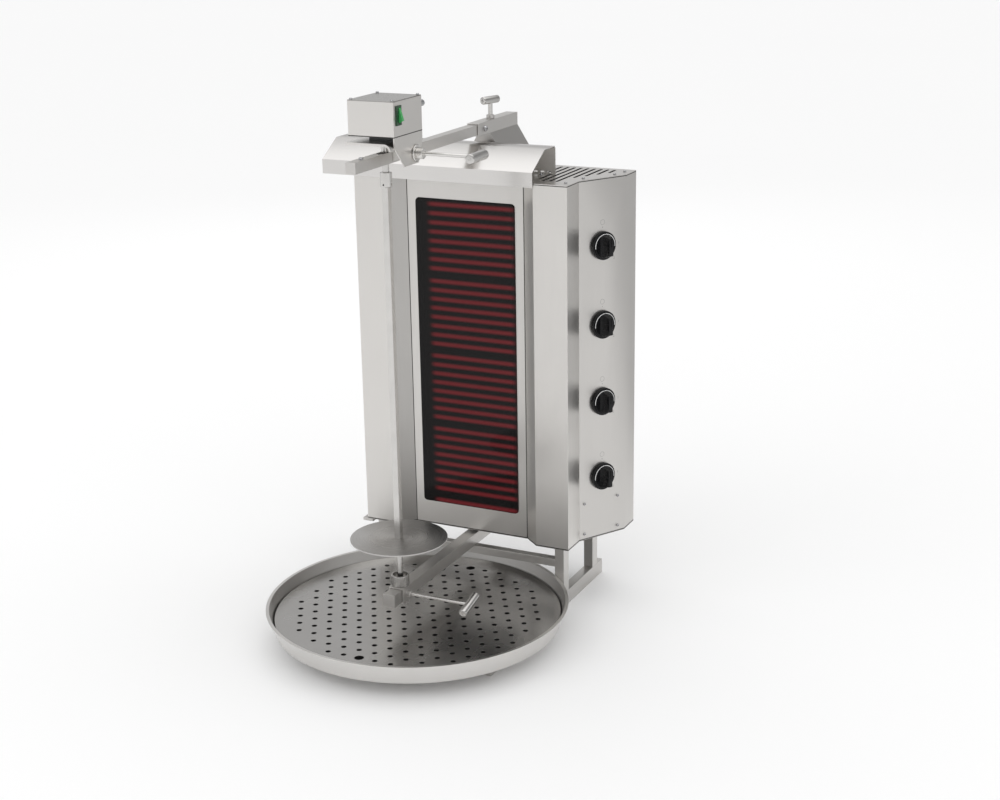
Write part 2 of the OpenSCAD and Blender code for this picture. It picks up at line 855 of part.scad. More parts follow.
module body_screws() {
    color("gainsboro") {
        for (s = [screw_front, flare_long - screw_rear], z = [screw_low, screw_high])
            on_flare(s, body_bottom + z)
                screw(screw_d);
        for (side = [-1, 1], p = cover_screw_shares)
            translate([side * column_out * p[0], column_at + (body_rear - column_at) * p[1],
                body_top])
                screw(screw_d);
        translate([0, -travel_front - plate_front - screw_d, top_arm_top])
            screw(front_screw_share * screw_d);
        translate([sleeve_half, (collar_at + sleeve_at) / 2 + screw_d / 2, top_arm_mid])
            rotate([0, 90, 0])
                screw(collar_screw_share * screw_d);
    }
}

module glass() {
    color([0.08, 0.07, 0.07])
        translate([0, 0, glass_bottom])
            upright(glass_rear - glass_thick, glass_thick)
                rounded(glass_wide, glass_tall, glass_corner);
}

module gasket() {
    color("dimgray")
        translate([0, 0, glass_bottom])
            upright(glass_rear, gasket_thick)
                difference() {
                    translate([0, -gasket_lap])
                        rounded(glass_wide + 2 * gasket_lap, glass_tall + 2 * gasket_lap,
                            glass_corner);
                    translate([0, gasket_lap])
                        rounded(glass_wide - 2 * gasket_lap, glass_tall - 2 * gasket_lap,
                            glass_corner);
                }
}

module heater_dishes() {
    color("gray")
        for (k = [0 : zones - 1])
            translate([0, 0, zone_low + k * zone_pitch])
                difference() {
                    block([-dish_wide / 2, gasket_rear, -dish_tall / 2],
                        [dish_wide / 2, dish_rear, dish_tall / 2]);
                    block([-dish_wide / 2 + dish_sheet, gasket_rear - over,
                        -dish_tall / 2 + dish_sheet],
                        [dish_wide / 2 - dish_sheet, dish_rear - dish_sheet,
                        dish_tall / 2 - dish_sheet]);
                }
}

module heater_boards() {
    w = dish_wide / 2 - dish_sheet - loose_fit;
    h = dish_tall / 2 - dish_sheet - loose_fit;
    color("ivory")
        for (k = [0 : zones - 1])
            translate([0, 0, zone_low + k * zone_pitch])
                block([-w, ribbon_rear, -h], [w, ribbon_rear + board_thick, h]);
}

// Serpentine ribbon: every line is joined to the next at one end
module ribbon_path() {
    span = (lines - 1) * line_pitch;
    for (i = [0 : lines - 1])
        translate([0, i * line_pitch - span / 2])
            square([line_long, ribbon_tall], center = true);
    for (i = [0 : lines - 2]) {
        side = i % 2 == 0 ? 1 : -1;
        translate([side * (line_long - ribbon_tall) / 2, (i + 0.5) * line_pitch - span / 2])
            square([ribbon_tall, line_pitch], center = true);
    }
}

module heater_ribbons() {
    color([0.55, 0.12, 0.1])
        for (k = [0 : zones - 1])
            translate([0, 0, zone_low + k * zone_pitch])
                upright(ribbon_rear - ribbon_thick, ribbon_thick)
                    ribbon_path();
}

module hood() {
    path = [[lip_at, lip_bottom], [lip_at, lip_top], [hood_ridge, hood_top],
        [hood_rear - hood_fold, hood_top], [hood_rear, hood_top - hood_fold],
        [hood_rear, body_top]];
    color("whitesmoke")
        difference() {
            translate([-hood_left, 0, 0])
                rotate([90, 0, 90])
                    linear_extrude(hood_left + hood_right)
                        strip(path, -sheet);
            for (i = [0 : outlets - 1])
                translate([hood_right - outlet_border - outlet_wide - i * outlet_pitch,
                    hood_rear - 2 * sheet, body_top + outlet_up])
                    cube([outlet_wide, 3 * sheet, outlet_tall]);
        }
}

module arm_bracket() {
    foot = bracket_foot / 2;
    head = sleeve_half;
    tall = sleeve_bottom - body_top;
    slope = (foot - head) / tall;
    inset = bracket_wall * sqrt(1 + slope * slope);
    roof = tall - bracket_wall;
    color("silver")
        translate([0, sleeve_rear, body_top])
            rotate([90, 0, 0])
                difference() {
                    linear_extrude(sleeve_rear - bracket_at)
                        polygon([[-foot, 0], [foot, 0], [head, tall], [-head, tall]]);
                    translate([0, 0, -over])
                        linear_extrude(sleeve_rear - bracket_at - bracket_wall + over)
                            polygon([[-foot + inset, 0], [foot - inset, 0],
                                [foot - inset - slope * roof, roof],
                                [-foot + inset + slope * roof, roof]]);
                    translate([-foot, -over, -over])
                        cube([2 * foot, over, sleeve_rear]);
                }
}

// Channel down the back of the body that carries the rear of the bracket
module rear_spine() {
    w = bracket_foot / 2 - spine_in;
    t = bracket_wall;
    y = sleeve_rear;
    color("silver")
        translate([0, 0, body_top - spine_tall])
            linear_extrude(spine_tall)
                strip([[-w - rear_flange, body_rear + t], [-w, body_rear + t], [-w, y],
                    [w, y], [w, body_rear + t], [w + rear_flange, body_rear + t]], -t);
}

module rear_sleeve() {
    color("silver")
        difference() {
            union() {
                translate([0, 0, top_arm_mid])
                    tube_y(2 * sleeve_half, 2 * sleeve_half, sleeve_wall, sleeve_at,
                        sleeve_rear);
                translate([0, stem_y, sleeve_top])
                    turned(stem_boss_d, stem_boss_tall);
            }
            translate([0, stem_y, top_arm_mid])
                cylinder(d = stem_d + 2 * run_fit, h = 2 * sleeve_half);
        }
}

module sleeve_collar() {
    color("silver")
        translate([0, 0, top_arm_mid])
            tube_y(2 * sleeve_half, 2 * sleeve_half, sleeve_wall, collar_at, sleeve_at);
}

module top_arm() {
    run = travel_front + travel_rear;
    color("silver")
        difference() {
            translate([0, 0, top_arm_mid])
                tube_y(top_arm, top_arm, tube_wall, -top_arm_front + plug_flange,
                    top_arm_rear);
            translate([0, (travel_rear - travel_front) / 2, top_arm_bottom - over])
                linear_extrude(top_arm + 2 * over)
                    slot(arm_slot, run + arm_slot);
        }
}

// Small lug under the left column, cut back wherever the front post would pass through it
module left_lug() {
    color("silver")
        difference() {
            block([-column_out - lug_out, column_at, body_bottom - lug_tall],
                [-column_out + lug_out, column_at + lug_deep, body_bottom]);
            block([-beam_x - slide_fit, post_front_at - slide_fit, beam_tall],
                [beam_wide - beam_x + slide_fit, column_at + lug_deep + over,
                    body_bottom + over]);
        }
}

module inlet_gland() {
    color("black")
        translate([-column_out, body_rear, body_bottom + vent_long])
            rotate([-90, 0, 0])
                difference() {
                    union() {
                        cylinder(d = inlet_d, h = inlet_nut, $fn = nut_fn);
                        turned((inlet_d + inlet_thread) / 2, inlet_long);
                        translate([0, 0, -inlet_thread])
                            cylinder(d = inlet_thread, h = inlet_thread + over);
                    }
                    translate([0, 0, -inlet_thread - over])
                        cylinder(d = inlet_bore, h = inlet_thread + inlet_long + 2 * over);
                }
}

// Energy regulator behind each knob, with its bush through the panel
module regulators() {
    w = regulator_wide;
    color("dimgray")
        for (k = [0 : knobs - 1])
            on_flare(knob_s, knob_low + k * knob_pitch)
                difference() {
                    union() {
                        translate([-w / 2, -w / 2, -sheet - regulator_deep])
                            cube([w, w, regulator_deep]);
                        translate([0, 0, -sheet - over])
                            cylinder(d = bush_d, h = sheet + over);
                    }
                    translate([0, 0, -regulator_deep])
                        cylinder(d = spindle_d + 2 * run_fit, h = 2 * regulator_deep);
                }
}

// Carrying plate that bends down into the right cheek, with a rear lip
module head_saddle() {
    w = case_wide / 2;
    inside = w - cheek_thick;
    bend = plate_bend;
    bend_x = w - cheek_thick / 2 - bend;
    color("silver")
        difference() {
            union() {
                translate([0, case_rear, 0])
                    rotate([90, 0, 0])
                        linear_extrude(plate_front + case_rear)
                            difference() {
                                union() {
                                    translate([-w, plate_under])
                                        square([w + bend_x, plate_thick]);
                                    translate([bend_x, plate_top - bend])
                                        intersection() {
                                            circle(bend);
                                            square(bend);
                                        }
                                }
                                translate([bend_x, plate_top - bend])
                                    circle(bend - plate_thick);
                            }
                translate([inside, 0, 0])
                    rotate([90, 0, 90])
                        linear_extrude(cheek_thick)
                            polygon([[-case_front, case_bottom], [-case_front, cheek_taper],
                                [-cheek_toe, cheek_bottom], [cheek_heel, cheek_bottom],
                                [case_rear, cheek_taper], [case_rear, case_bottom]]);
                block([-w, case_rear - sheet, plate_under], [inside, case_rear,
                    case_bottom]);
            }
            translate([0, 0, plate_under - over])
                cylinder(d = shaft_d + 2 * rod_d, h = plate_thick + 2 * over);
            translate([0, clamp_at, clamp_z])
                rotate([0, 90, 0])
                    cylinder(d = rod_d + 2 * run_fit, h = case_wide);
        }
}

// Guide that rides on the upper arm and carries the plate
module head_guide() {
    color("dimgray")
        difference() {
            block([-guide_half, guide_front, guide_foot], [guide_half, guide_rear,
                plate_under]);
            block([-top_arm / 2 - slide_fit, -plate_front, top_arm_bottom - over],
                [top_arm / 2 + slide_fit, case_rear, guide_under]);
            translate([0, clamp_at, clamp_z])
                rotate([0, 90, 0])
                    cylinder(d = rod_d + 2 * run_fit, h = case_wide);
        }
}

module motor_case() {
    w = case_wide / 2;
    color("lightgray")
        difference() {
            block([-w, -case_front, case_bottom], [w, case_rear, lid_under]);
            block([-w + sheet, -case_front + sheet, case_bottom - over],
                [w - sheet, case_rear - sheet, case_top]);
            block([0, switch_y - switch_wide / 2 + switch_rim, switch_z
                - switch_tall / 2 + switch_rim],
                [case_wide, switch_y + switch_wide / 2 - switch_rim,
                switch_z + switch_tall / 2 - switch_rim]);
            translate([gland_x, 0, gland_z])
                rotate([-90, 0, 0])
                    cylinder(d = gland_d * neck_share + 2 * loose_fit, h = case_wide);
        }
}

module motor_lid() {
    color("lightgray")
        block([-case_wide / 2, -case_front, lid_under], [case_wide / 2, case_rear, case_top]);
}

module lid_screws() {
    e = lid_edge_share * screw_d;
    color("gainsboro")
        for (x = [-case_wide / 2 + e, case_wide / 2 - e], y = [-case_front + e, case_rear - e])
            translate([x, y, case_top])
                screw(screw_d);
}

// Gear motor on its foot, with the bore for the drive shaft
module gearmotor() {
    foot = (case_bottom - plate_top) * crown_share;
    right = case_wide / 2 - 2 * cheek_thick;
    color("dimgray")
        difference() {
            union() {
                block([right - motor_wide, -motor_front, plate_top],
                    [right, case_rear - 2 * plate_thick, plate_top + foot]);
                block([right - motor_wide, -motor_front + foot, plate_top],
                    [right - 4 * foot, case_rear - 2 * plate_thick, plate_top + motor_tall]);
            }
            translate([0, 0, plate_top - over])
                cylinder(d = shaft_d + 2 * run_fit, h = motor_tall / 2);
        }
}

module motor_gland() {
    color("dimgray")
        translate([gland_x, case_rear, gland_z])
            rotate([-90, 0, 0]) {
                cylinder(d = gland_d, h = gland_long);
                translate([0, 0, -2 * sheet])
                    cylinder(d = gland_d * neck_share, h = 2 * sheet + over);
            }
}

// Frame of the switch with the pocket and the bore of the rocker's pin
module switch_bezel() {
    w = case_wide / 2;
    y = switch_wide / 2 - switch_rim - loose_fit;
    z = switch_tall / 2 - switch_rim - loose_fit;
    half = rocker_wide / 2 + pocket_fit;
    color([0.04, 0.12, 0.06])
        difference() {
            translate([0, switch_y, switch_z]) {
                block([w, -switch_wide / 2, -switch_tall / 2],
                    [w + switch_rim, switch_wide / 2, switch_tall / 2]);
                block([w - switch_wide, -y, -z], [w + switch_rim, y, z]);
            }
            translate([0, rocker_y, switch_z]) {
                block([w - switch_wide + switch_rim, -half, -rocker_r - pocket_fit],
                    [2 * w, half, rocker_r + pocket_fit]);
                translate([pivot_x, half + switch_rim, 0])
                    rotate([90, 0, 0])
                        cylinder(d = switch_rim + 2 * run_fit, h = 2 * (half + switch_rim),
                            $fn = small_fn);
            }
        }
}

// Rocker with a protruding toe; its base stays within rocker_r of the pivot
module rocker() {
    half = rocker_wide / 2;
    r = rocker_r;
    toe = rocker_toe + switch_rim;
    pin = half + switch_rim * pivot_share;
    color([0.1, 0.5, 0.2])
        translate([pivot_x, rocker_y, switch_z])
            rotate([90, 0, 0]) {
                translate([0, 0, -half])
                    linear_extrude(2 * half)
                        polygon([[r * cos(back_turn), -r * sin(back_turn)],
                            [r * cos(toe_turn), -r * sin(toe_turn)], [toe, -toe_share * r],
                            [r / 3, crest_share * r], [r * cos(crest_turn),
                            r * sin(crest_turn)], [r * cos(back_turn), r * sin(back_turn)]]);
                translate([0, 0, -pin])
                    cylinder(d = switch_rim, h = 2 * pin, $fn = small_fn);
            }
}

// T-shaped handle: rod up +Z from zero, grip with round ends along X
module t_handle(d, long, grip) {
    edge = grip_d / 4;
    cylinder(d = d, h = long);
    translate([0, 0, long])
        rotate([0, 90, 0])
            rotate_extrude()
                polygon([[0, -grip / 2], [grip_d / 2 - edge, -grip / 2],
                    [grip_d / 2, -grip / 2 + edge], [grip_d / 2, grip / 2 - edge],
                    [grip_d / 2 - edge, grip / 2], [0, grip / 2]]);
}

module head_clamp() {
    start = top_arm / 2 + slide_fit;
    washer = case_wide / 2 + loose_fit - start;
    color("silver")
        translate([start, clamp_at, clamp_z])
            rotate([0, 90, 0])
                rotate([0, 0, 90 + head_turn]) {
                    t_handle(rod_d, head_reach - start, side_grip);
                    translate([0, 0, washer])
                        turned(washer_d, washer_thick);
                    translate([0, 0, washer + washer_thick])
                        turned(hub_d, hub_long);
                }
}

module lower_clamp() {
    start = low_arm / 2 + slide_fit;
    color("silver")
        translate([start, 0, low_arm_mid])
            rotate([0, 90, 0])
                rotate([0, 0, 90 + low_turn])
                    t_handle(rod_d, low_reach - start, side_grip);
}

module rear_clamp() {
    start = top_arm_top + slide_fit;
    color("silver")
        translate([0, stem_y, start])
            rotate([0, 0, 90 - top_turn])
                t_handle(stem_d, top_grip_z - start, top_grip);
}

module drive_shaft() {
    color("silver")
        translate([0, 0, joint_z])
            cylinder(d = shaft_d, h = plate_top + motor_tall / 3 - joint_z);
}

// Cross hole of the pin that locks the spit in the coupling
module pin_hole() {
    translate([-coupling_d, 0, pin_z])
        rotate([0, 90, 0])
            cylinder(d = pin_d + 2 * run_fit, h = 2 * coupling_d, $fn = small_fn);
}

module coupling_sleeve() {
    side = rod_side / 2 + run_fit;
    color("silver")
        difference() {
            translate([0, 0, coupling_bottom])
                turned(coupling_d, coupling_long);
            translate([0, 0, joint_z])
                cylinder(d = shaft_d + 2 * run_fit, h = coupling_long);
            block([-side, -side, coupling_bottom - over], [side, side, joint_z - run_fit]);
            pin_hole();
        }
}

module coupling_pin() {
    long = pin_share * coupling_d;
    color("silver")
        translate([-long / 2, 0, pin_z])
            rotate([0, 90, 0])
                cylinder(d = pin_d, h = long, $fn = small_fn);
}

module spit_rod() {
    side = rod_side / 2;
    color("silver")
        difference() {
            union() {
                block([-side, -side, disc_foot], [side, side, joint_z - sheet]);
                translate([0, 0, foot_bottom])
                    turned(foot_d, disc_foot - foot_bottom + over);
            }
            pin_hole();
        }
}

// Disc with a hub and a square hole for the spit rod
module meat_disc() {
    side = rod_side / 2 + run_fit;
    color("silver")
        difference() {
            union() {
                translate([0, 0, disc_top - disc_thick])
                    cylinder(d = disc_d, h = disc_thick);
                translate([0, 0, disc_foot])
                    cylinder(d = 5 * rod_side / 2, h = rod_side - disc_thick / 2);
            }
            block([-side, -side, disc_foot - over], [side, side, disc_top + over]);
        }
}

module lower_carriage() {
    color("silver")
        difference() {
            union() {
                translate([0, 0, low_arm_mid])
                    tube_y(2 * carriage_half, 2 * carriage_half, carriage_wall,
                        -carriage_lead, carriage_long - carriage_lead);
                translate([carriage_half - bevel, 0, low_arm_mid])
                    rotate([0, 90, 0])
                        turned(boss_d, boss_long + bevel);
            }
            translate([carriage_half - 2 * carriage_wall, 0, low_arm_mid])
                rotate([0, 90, 0])
                    cylinder(d = rod_d + 2 * run_fit, h = 4 * carriage_wall + boss_long);
        }
}

module bearing_cup() {
    color("silver")
        translate([0, 0, carriage_top])
            difference() {
                turned(cup_d, cup_tall);
                translate([0, 0, cup_tall - cup_mouth])
                    cylinder(d = cup_d - 2 * cup_wall, h = cup_mouth + over);
                translate([0, 0, cup_floor])
                    cylinder(d = foot_d + 2 * run_fit, h = cup_tall);
            }
}

module drip_tray() {
    t = tray_sheet;
    color("silver")
        translate([0, tray_at, tray_z])
            rotate_extrude($fn = 128)
                polygon([[0, 0], [tray_floor_r, 0], [tray_r - tray_rim, tray_tall - t],
                    [tray_r, tray_tall - t], [tray_r, tray_tall],
                    [tray_r - tray_rim - t, tray_tall], [tray_floor_r - t, t], [0, t]]);
}

// Perforated plate, without holes over its middle foot and one more foot
module tray_insert() {
    reach = ceil(holes_r / row_gap);
    color("silver")
        translate([0, tray_at, insert_z])
            difference() {
                cylinder(r = insert_r, h = insert_thick, $fn = 128);
                for (j = [-reach : reach], i = [-reach : reach]) {
                    step = i + (abs(j) % 2) / 2;
                    x = step * hole_pitch;
                    y = j * row_gap;
                    blank = (j == 0 && i == 0) || (j == blank_j && step == blank_i)
                        || (abs(j) == finger_row && i == 0);
                    if (norm([x, y]) < holes_r && !blank)
                        translate([x, y, -over])
                            cylinder(d = hole_d, h = insert_thick + 2 * over,
                                $fn = small_fn);
                }
                for (side = [-1, 1])
                    translate([0, side * finger_row * row_gap, -over])
                        cylinder(d = finger_d, h = insert_thick + 2 * over);
            }
}

// Short feet under the perforated plate
module insert_feet() {
    ring = insert_r - 2 * hole_d;
    places = concat([[0, 0], [blank_i * hole_pitch, blank_j * row_gap]],
        [for (a = [30 : 60 : 330]) [ring * cos(a), ring * sin(a)]]);
    color("silver")
        translate([0, tray_at, insert_z - insert_up])
            for (p = places)
                translate(p)
                    cylinder(d = hole_d, h = insert_up, $fn = small_fn);
}

// Knob: skirt, round body, tapered grip bar and spindle
module knob(k) {
    top = knob_body + knob_grip;
    color([0.06, 0.06, 0.07])
        on_flare(knob_s, knob_low + k * knob_pitch)
            translate([0, 0, loose_fit]) {
                turned(knob_skirt, skirt_thick);
                translate([0, 0, skirt_thick / 2])
                    turned(knob_d, skirt_thick / 2 + knob_body);
                translate([0, 0, skirt_thick])
                    difference() {
                        intersection() {
                            cylinder(d1 = draft_share * knob_d, d2 = grip_share * knob_d,
                                h = top);
                            translate([-knob_d / 2, 0, 0])
                                rotate([90, 0, 90])
                                    linear_extrude(knob_d)
                                        polygon([[-grip_foot / 2, 0], [grip_foot / 2, 0],
                                            [grip_wide / 2, top], [-grip_wide / 2, top]]);
                        }
                        translate([-knob_d, -groove_wide / 2, top - groove_deep])
                            cube([knob_d, groove_wide, 2 * groove_deep]);
                    }
                translate([0, 0, -3 * skirt_thick])
                    cylinder(d = spindle_d, h = 3 * skirt_thick + over);
            }
}

floor_beam(1);  // floor_beam_right
floor_beam(-1);  // floor_beam_left
post(1, post_front_at);  // post_front_right
post(-1, post_front_at);  // post_front_left
post(1, post_rear_at);  // post_rear_right
post(-1, post_rear_at);  // post_rear_left
cross_beam(post_front_at);  // cross_beam_front
cross_beam(post_rear_at);  // cross_beam_rear
end_caps();
lower_arm();
bottom_plate();
front_panel();
wing();  // wing_right
mirror([1, 0, 0]) wing();  // wing_left
control_panel();
side_panel_left();
rear_panel();
top_cover_right();
top_cover_left();
body_screws();
glass();
gasket();
heater_dishes();
heater_boards();
heater_ribbons();
hood();
arm_bracket();
rear_spine();
rear_sleeve();
sleeve_collar();
top_arm();
left_lug();
inlet_gland();
regulators();
head_saddle();
head_guide();
motor_case();
motor_lid();
lid_screws();
gearmotor();
motor_gland();
switch_bezel();
rocker();
head_clamp();
lower_clamp();
rear_clamp();
drive_shaft();
coupling_sleeve();
coupling_pin();
spit_rod();
meat_disc();
lower_carriage();
bearing_cup();
drip_tray();
tray_insert();
insert_feet();
knob(0);  // knob_1
knob(1);  // knob_2
knob(2);  // knob_3
knob(3);  // knob_4
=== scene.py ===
# %% [markdown]
# # An upright electric grill with a turning spit
# This lesson dresses a finished steel grill for a photograph.
# The frame already holds every part at its real size, in metres, so nothing is fitted here.
# What is left is what a camera sees: rounded edges, brushed steel, dark glass, knobs and screws.

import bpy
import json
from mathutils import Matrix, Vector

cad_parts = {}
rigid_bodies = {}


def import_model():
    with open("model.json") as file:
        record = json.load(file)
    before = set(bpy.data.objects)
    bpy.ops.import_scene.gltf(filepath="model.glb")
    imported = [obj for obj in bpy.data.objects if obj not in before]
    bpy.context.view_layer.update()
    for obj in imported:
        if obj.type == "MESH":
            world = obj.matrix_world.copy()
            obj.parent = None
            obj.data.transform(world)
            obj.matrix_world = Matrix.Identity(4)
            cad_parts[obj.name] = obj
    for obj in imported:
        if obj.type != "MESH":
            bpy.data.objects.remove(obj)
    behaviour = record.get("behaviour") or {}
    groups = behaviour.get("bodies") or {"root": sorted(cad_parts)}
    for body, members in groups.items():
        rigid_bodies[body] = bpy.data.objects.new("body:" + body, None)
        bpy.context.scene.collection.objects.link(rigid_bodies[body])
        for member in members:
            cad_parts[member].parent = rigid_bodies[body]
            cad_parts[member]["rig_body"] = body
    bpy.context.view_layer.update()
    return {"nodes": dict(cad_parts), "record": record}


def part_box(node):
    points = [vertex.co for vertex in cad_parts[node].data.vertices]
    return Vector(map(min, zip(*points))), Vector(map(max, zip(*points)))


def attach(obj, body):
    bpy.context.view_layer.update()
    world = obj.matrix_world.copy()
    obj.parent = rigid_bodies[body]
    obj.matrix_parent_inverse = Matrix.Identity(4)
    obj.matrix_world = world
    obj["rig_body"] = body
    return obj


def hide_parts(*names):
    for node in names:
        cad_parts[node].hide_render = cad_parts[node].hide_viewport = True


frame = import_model()

# %% Tools of the lesson
import json
import math

import bpy
from mathutils import Matrix, Vector

MM = 0.001
QUARTER = math.radians(90)
scene = bpy.context.scene
scene.view_settings.view_transform = "Standard"
print("colours shown as", scene.view_settings.view_transform)

# %% [markdown]
# ## The camera
# The picture was taken from the front right, a little above the grill.
# A camera is easiest to aim with three turns: round the vertical, down from the level, and a
# small roll. They are multiplied in that order, after the place where the camera stands.

# %% Set up the camera
CAMERA_AT = Vector((1.5101, -2.6529, 1.4551))
CAMERA_HEADING = math.radians(25.943)
CAMERA_DOWN = math.radians(17.415)
CAMERA_ROLL = math.radians(-0.937)
CAMERA_LENS = 61.69

camera_data = bpy.data.cameras.new("camera")
camera_data.lens = CAMERA_LENS
camera = bpy.data.objects.new("camera", camera_data)
scene.collection.objects.link(camera)
camera.matrix_world = (
    Matrix.Translation(CAMERA_AT)
    @ Matrix.Rotation(CAMERA_HEADING, 4, "Z")
    @ Matrix.Rotation(QUARTER - CAMERA_DOWN, 4, "X")
    @ Matrix.Rotation(CAMERA_ROLL, 4, "Z")
)
scene.camera = camera
print("camera lens", camera_data.lens, "mm")

# %% [markdown]
# ## The studio
# Steel shows what stands round it, so the room matters as much as the metal.
# The picture has a plain white ground, and its upright sheets are light while every flat top is
# a middle grey. A room does that whose walls are dim at eye level and bright overhead: a flat
# top then mirrors the dim wall behind the grill, and an upright sheet mirrors the pale floor.
# Real walls would need placing one by one. A curve over the height of a direction gives all of
# them at once. A curve ends at 1, so it holds each level as a share of a top level.

# %% Walls of the room
TOP_LEVEL = 2.0
WALL_LEVELS = ((0.0, 0.46), (0.16, 0.47), (0.36, 0.27), (0.58, 0.46), (0.80, 1.3), (1.0, 1.5))

world = bpy.data.worlds.new("studio")
world.use_nodes = True
scene.world = world
room = world.node_tree
toward = room.nodes.new("ShaderNodeTexCoord")
height = room.nodes.new("ShaderNodeSeparateXYZ")
room.links.new(toward.outputs["Generated"], height.inputs["Vector"])
wall = room.nodes.new("ShaderNodeFloatCurve")
curve = wall.mapping.curves[0]
curve.points[0].location = (0, WALL_LEVELS[0][1] / TOP_LEVEL)
curve.points[1].location = (1, WALL_LEVELS[-1][1] / TOP_LEVEL)
for place, level in WALL_LEVELS[1:-1]:
    curve.points.new(place, level / TOP_LEVEL)
wall.mapping.update()
room.links.new(height.outputs["Z"], wall.inputs["Value"])
lifted = room.nodes.new("ShaderNodeMath")
lifted.operation = "MULTIPLY"
lifted.inputs[1].default_value = TOP_LEVEL
room.links.new(wall.outputs["Value"], lifted.inputs[0])
print("walls from", WALL_LEVELS[0][1], "to", WALL_LEVELS[-1][1])

# %% [markdown]
# ### What each kind of ray finds
# Only mirror rays find those walls. The camera itself sees plain white, and dull surfaces are
# lit evenly from all sides, so that their colours come out as they are written.

# %% Levels by kind of ray
ROOM_SEEN = 0.97
ROOM_LIGHT = 1.0
path = room.nodes.new("ShaderNodeLightPath")


def choose(kind, when, otherwise):
    """Level for one kind of ray; both levels are a socket or a plain number."""
    pick_level = room.nodes.new("ShaderNodeMix")
    pick_level.data_type = "FLOAT"
    room.links.new(path.outputs[kind], pick_level.inputs["Factor"])
    for socket, level in ((pick_level.inputs[2], otherwise), (pick_level.inputs[3], when)):
        if isinstance(level, float):
            socket.default_value = level
        else:
            room.links.new(level, socket)
    return pick_level.outputs[0]


sky = room.nodes["Background"]
sky.inputs["Color"].default_value = (1, 1, 1, 1)
mirrored = choose("Is Glossy Ray", lifted.outputs["Value"], ROOM_LIGHT)
seen = choose("Is Camera Ray", ROOM_SEEN, mirrored)
room.links.new(seen, sky.inputs["Strength"])
print("room lights at", ROOM_LIGHT, "and is seen at", ROOM_SEEN)

# %% [markdown]
# ### Lamps
# An even room alone leaves no shadow. Three large, weak lamps add a soft one on the floor and a
# slow change of tone across the sheets. A large lamp is softer than a strong small one.

# %% Lamps
MIDDLE = Vector((0, 0.2, 0.5))
LAMPS = (
    ("key_lamp", (-2.2, -2.6, 2.8), 2.4, 12),
    ("side_lamp", (3.2, -0.6, 1.8), 2.0, 4),
    ("back_lamp", (-1.7, 3.4, 2.3), 2.6, 6),
)


def soft_lamp(name, place, wide, watts):
    """Square lamp at a place, turned towards the middle of the grill."""
    data = bpy.data.lights.new(name, "AREA")
    data.size = wide
    data.energy = watts
    lamp = bpy.data.objects.new(name, data)
    scene.collection.objects.link(lamp)
    lamp.location = place
    lamp.rotation_euler = (MIDDLE - Vector(place)).to_track_quat("-Z", "Y").to_euler()
    lamp.visible_camera = False
    return lamp


lamps = [soft_lamp(*row) for row in LAMPS]
print("lamps:", [lamp.name for lamp in lamps])

# %% [markdown]
# ## Materials
# Every finish starts from noise. Noise that is squeezed in two directions and stretched in the
# third looks like the scratches that an abrasive belt leaves, which is what brushed steel is.
# The same few steps serve all the finishes, so each step is a small helper. A stretch is given
# as patches a metre along each axis.

# %% Helpers for materials
NOISE_LOW = 0.3
NOISE_HIGH = 0.7


def new_material(name):
    """Material with its node tree and its shader at hand."""
    made = bpy.data.materials.new(name)
    made.use_nodes = True
    return made, made.node_tree, made.node_tree.nodes["Principled BSDF"]


def noise(tree, stretch, detail):
    """Noise over the object, squeezed along each axis by stretch."""
    place = tree.nodes.new("ShaderNodeTexCoord")
    squeeze = tree.nodes.new("ShaderNodeMapping")
    squeeze.inputs["Scale"].default_value = stretch
    texture = tree.nodes.new("ShaderNodeTexNoise")
    texture.inputs["Scale"].default_value = 1.0
    texture.inputs["Detail"].default_value = detail
    tree.links.new(place.outputs["Object"], squeeze.inputs["Vector"])
    tree.links.new(squeeze.outputs["Vector"], texture.inputs["Vector"])
    return texture.outputs["Fac"]


def spread(tree, value, low, high):
    """Maps the usual span of noise to the span from low to high."""
    span = tree.nodes.new("ShaderNodeMapRange")
    span.inputs["From Min"].default_value = NOISE_LOW
    span.inputs["From Max"].default_value = NOISE_HIGH
    span.inputs["To Min"].default_value = low
    span.inputs["To Max"].default_value = high
    tree.links.new(value, span.inputs["Value"])
    return span.outputs["Result"]


def tint(tree, value, dark, light):
    """Colour between dark and light over the usual span of noise."""
    ramp = tree.nodes.new("ShaderNodeValToRGB")
    ramp.color_ramp.elements[0].position = NOISE_LOW
    ramp.color_ramp.elements[0].color = (*dark, 1)
    ramp.color_ramp.elements[1].position = NOISE_HIGH
    ramp.color_ramp.elements[1].color = (*light, 1)
    tree.links.new(value, ramp.inputs["Fac"])
    return ramp.outputs["Color"]


def relief(tree, value, depth, strength):
    """Bump whose height is depth metres."""
    bump = tree.nodes.new("ShaderNodeBump")
    bump.inputs["Strength"].default_value = strength
    bump.inputs["Distance"].default_value = depth
    tree.links.new(value, bump.inputs["Height"])
    return bump.outputs["Normal"]


def shade(colour, share):
    """The colour made darker or lighter by a share."""
    return tuple(channel * share for channel in colour)


print("noise runs from", NOISE_LOW, "to", NOISE_HIGH)

# %% [markdown]
# ### Brushed steel
# The sheets are stainless steel with a fine grain. Two noises work together: a fine one along
# the grain for roughness and relief, and a broad one that lets the tone drift a little, as
# rolled sheet does. One texture for all would run across some parts, so each way that a sheet
# or tube was brushed has its own steel.

# %% Brushed steel
FINE = 900
LONG = 10
UPRIGHT = (FINE, FINE, LONG)
LENGTHWISE = (FINE, LONG, FINE)
CROSSWISE = (LONG, FINE, FINE)
LEVEL = (LONG, LONG, FINE)
BROAD = (5, 5, 5)
DRIFT_SHARE = 0.96
GRAIN_DEEP = 0.02 * MM


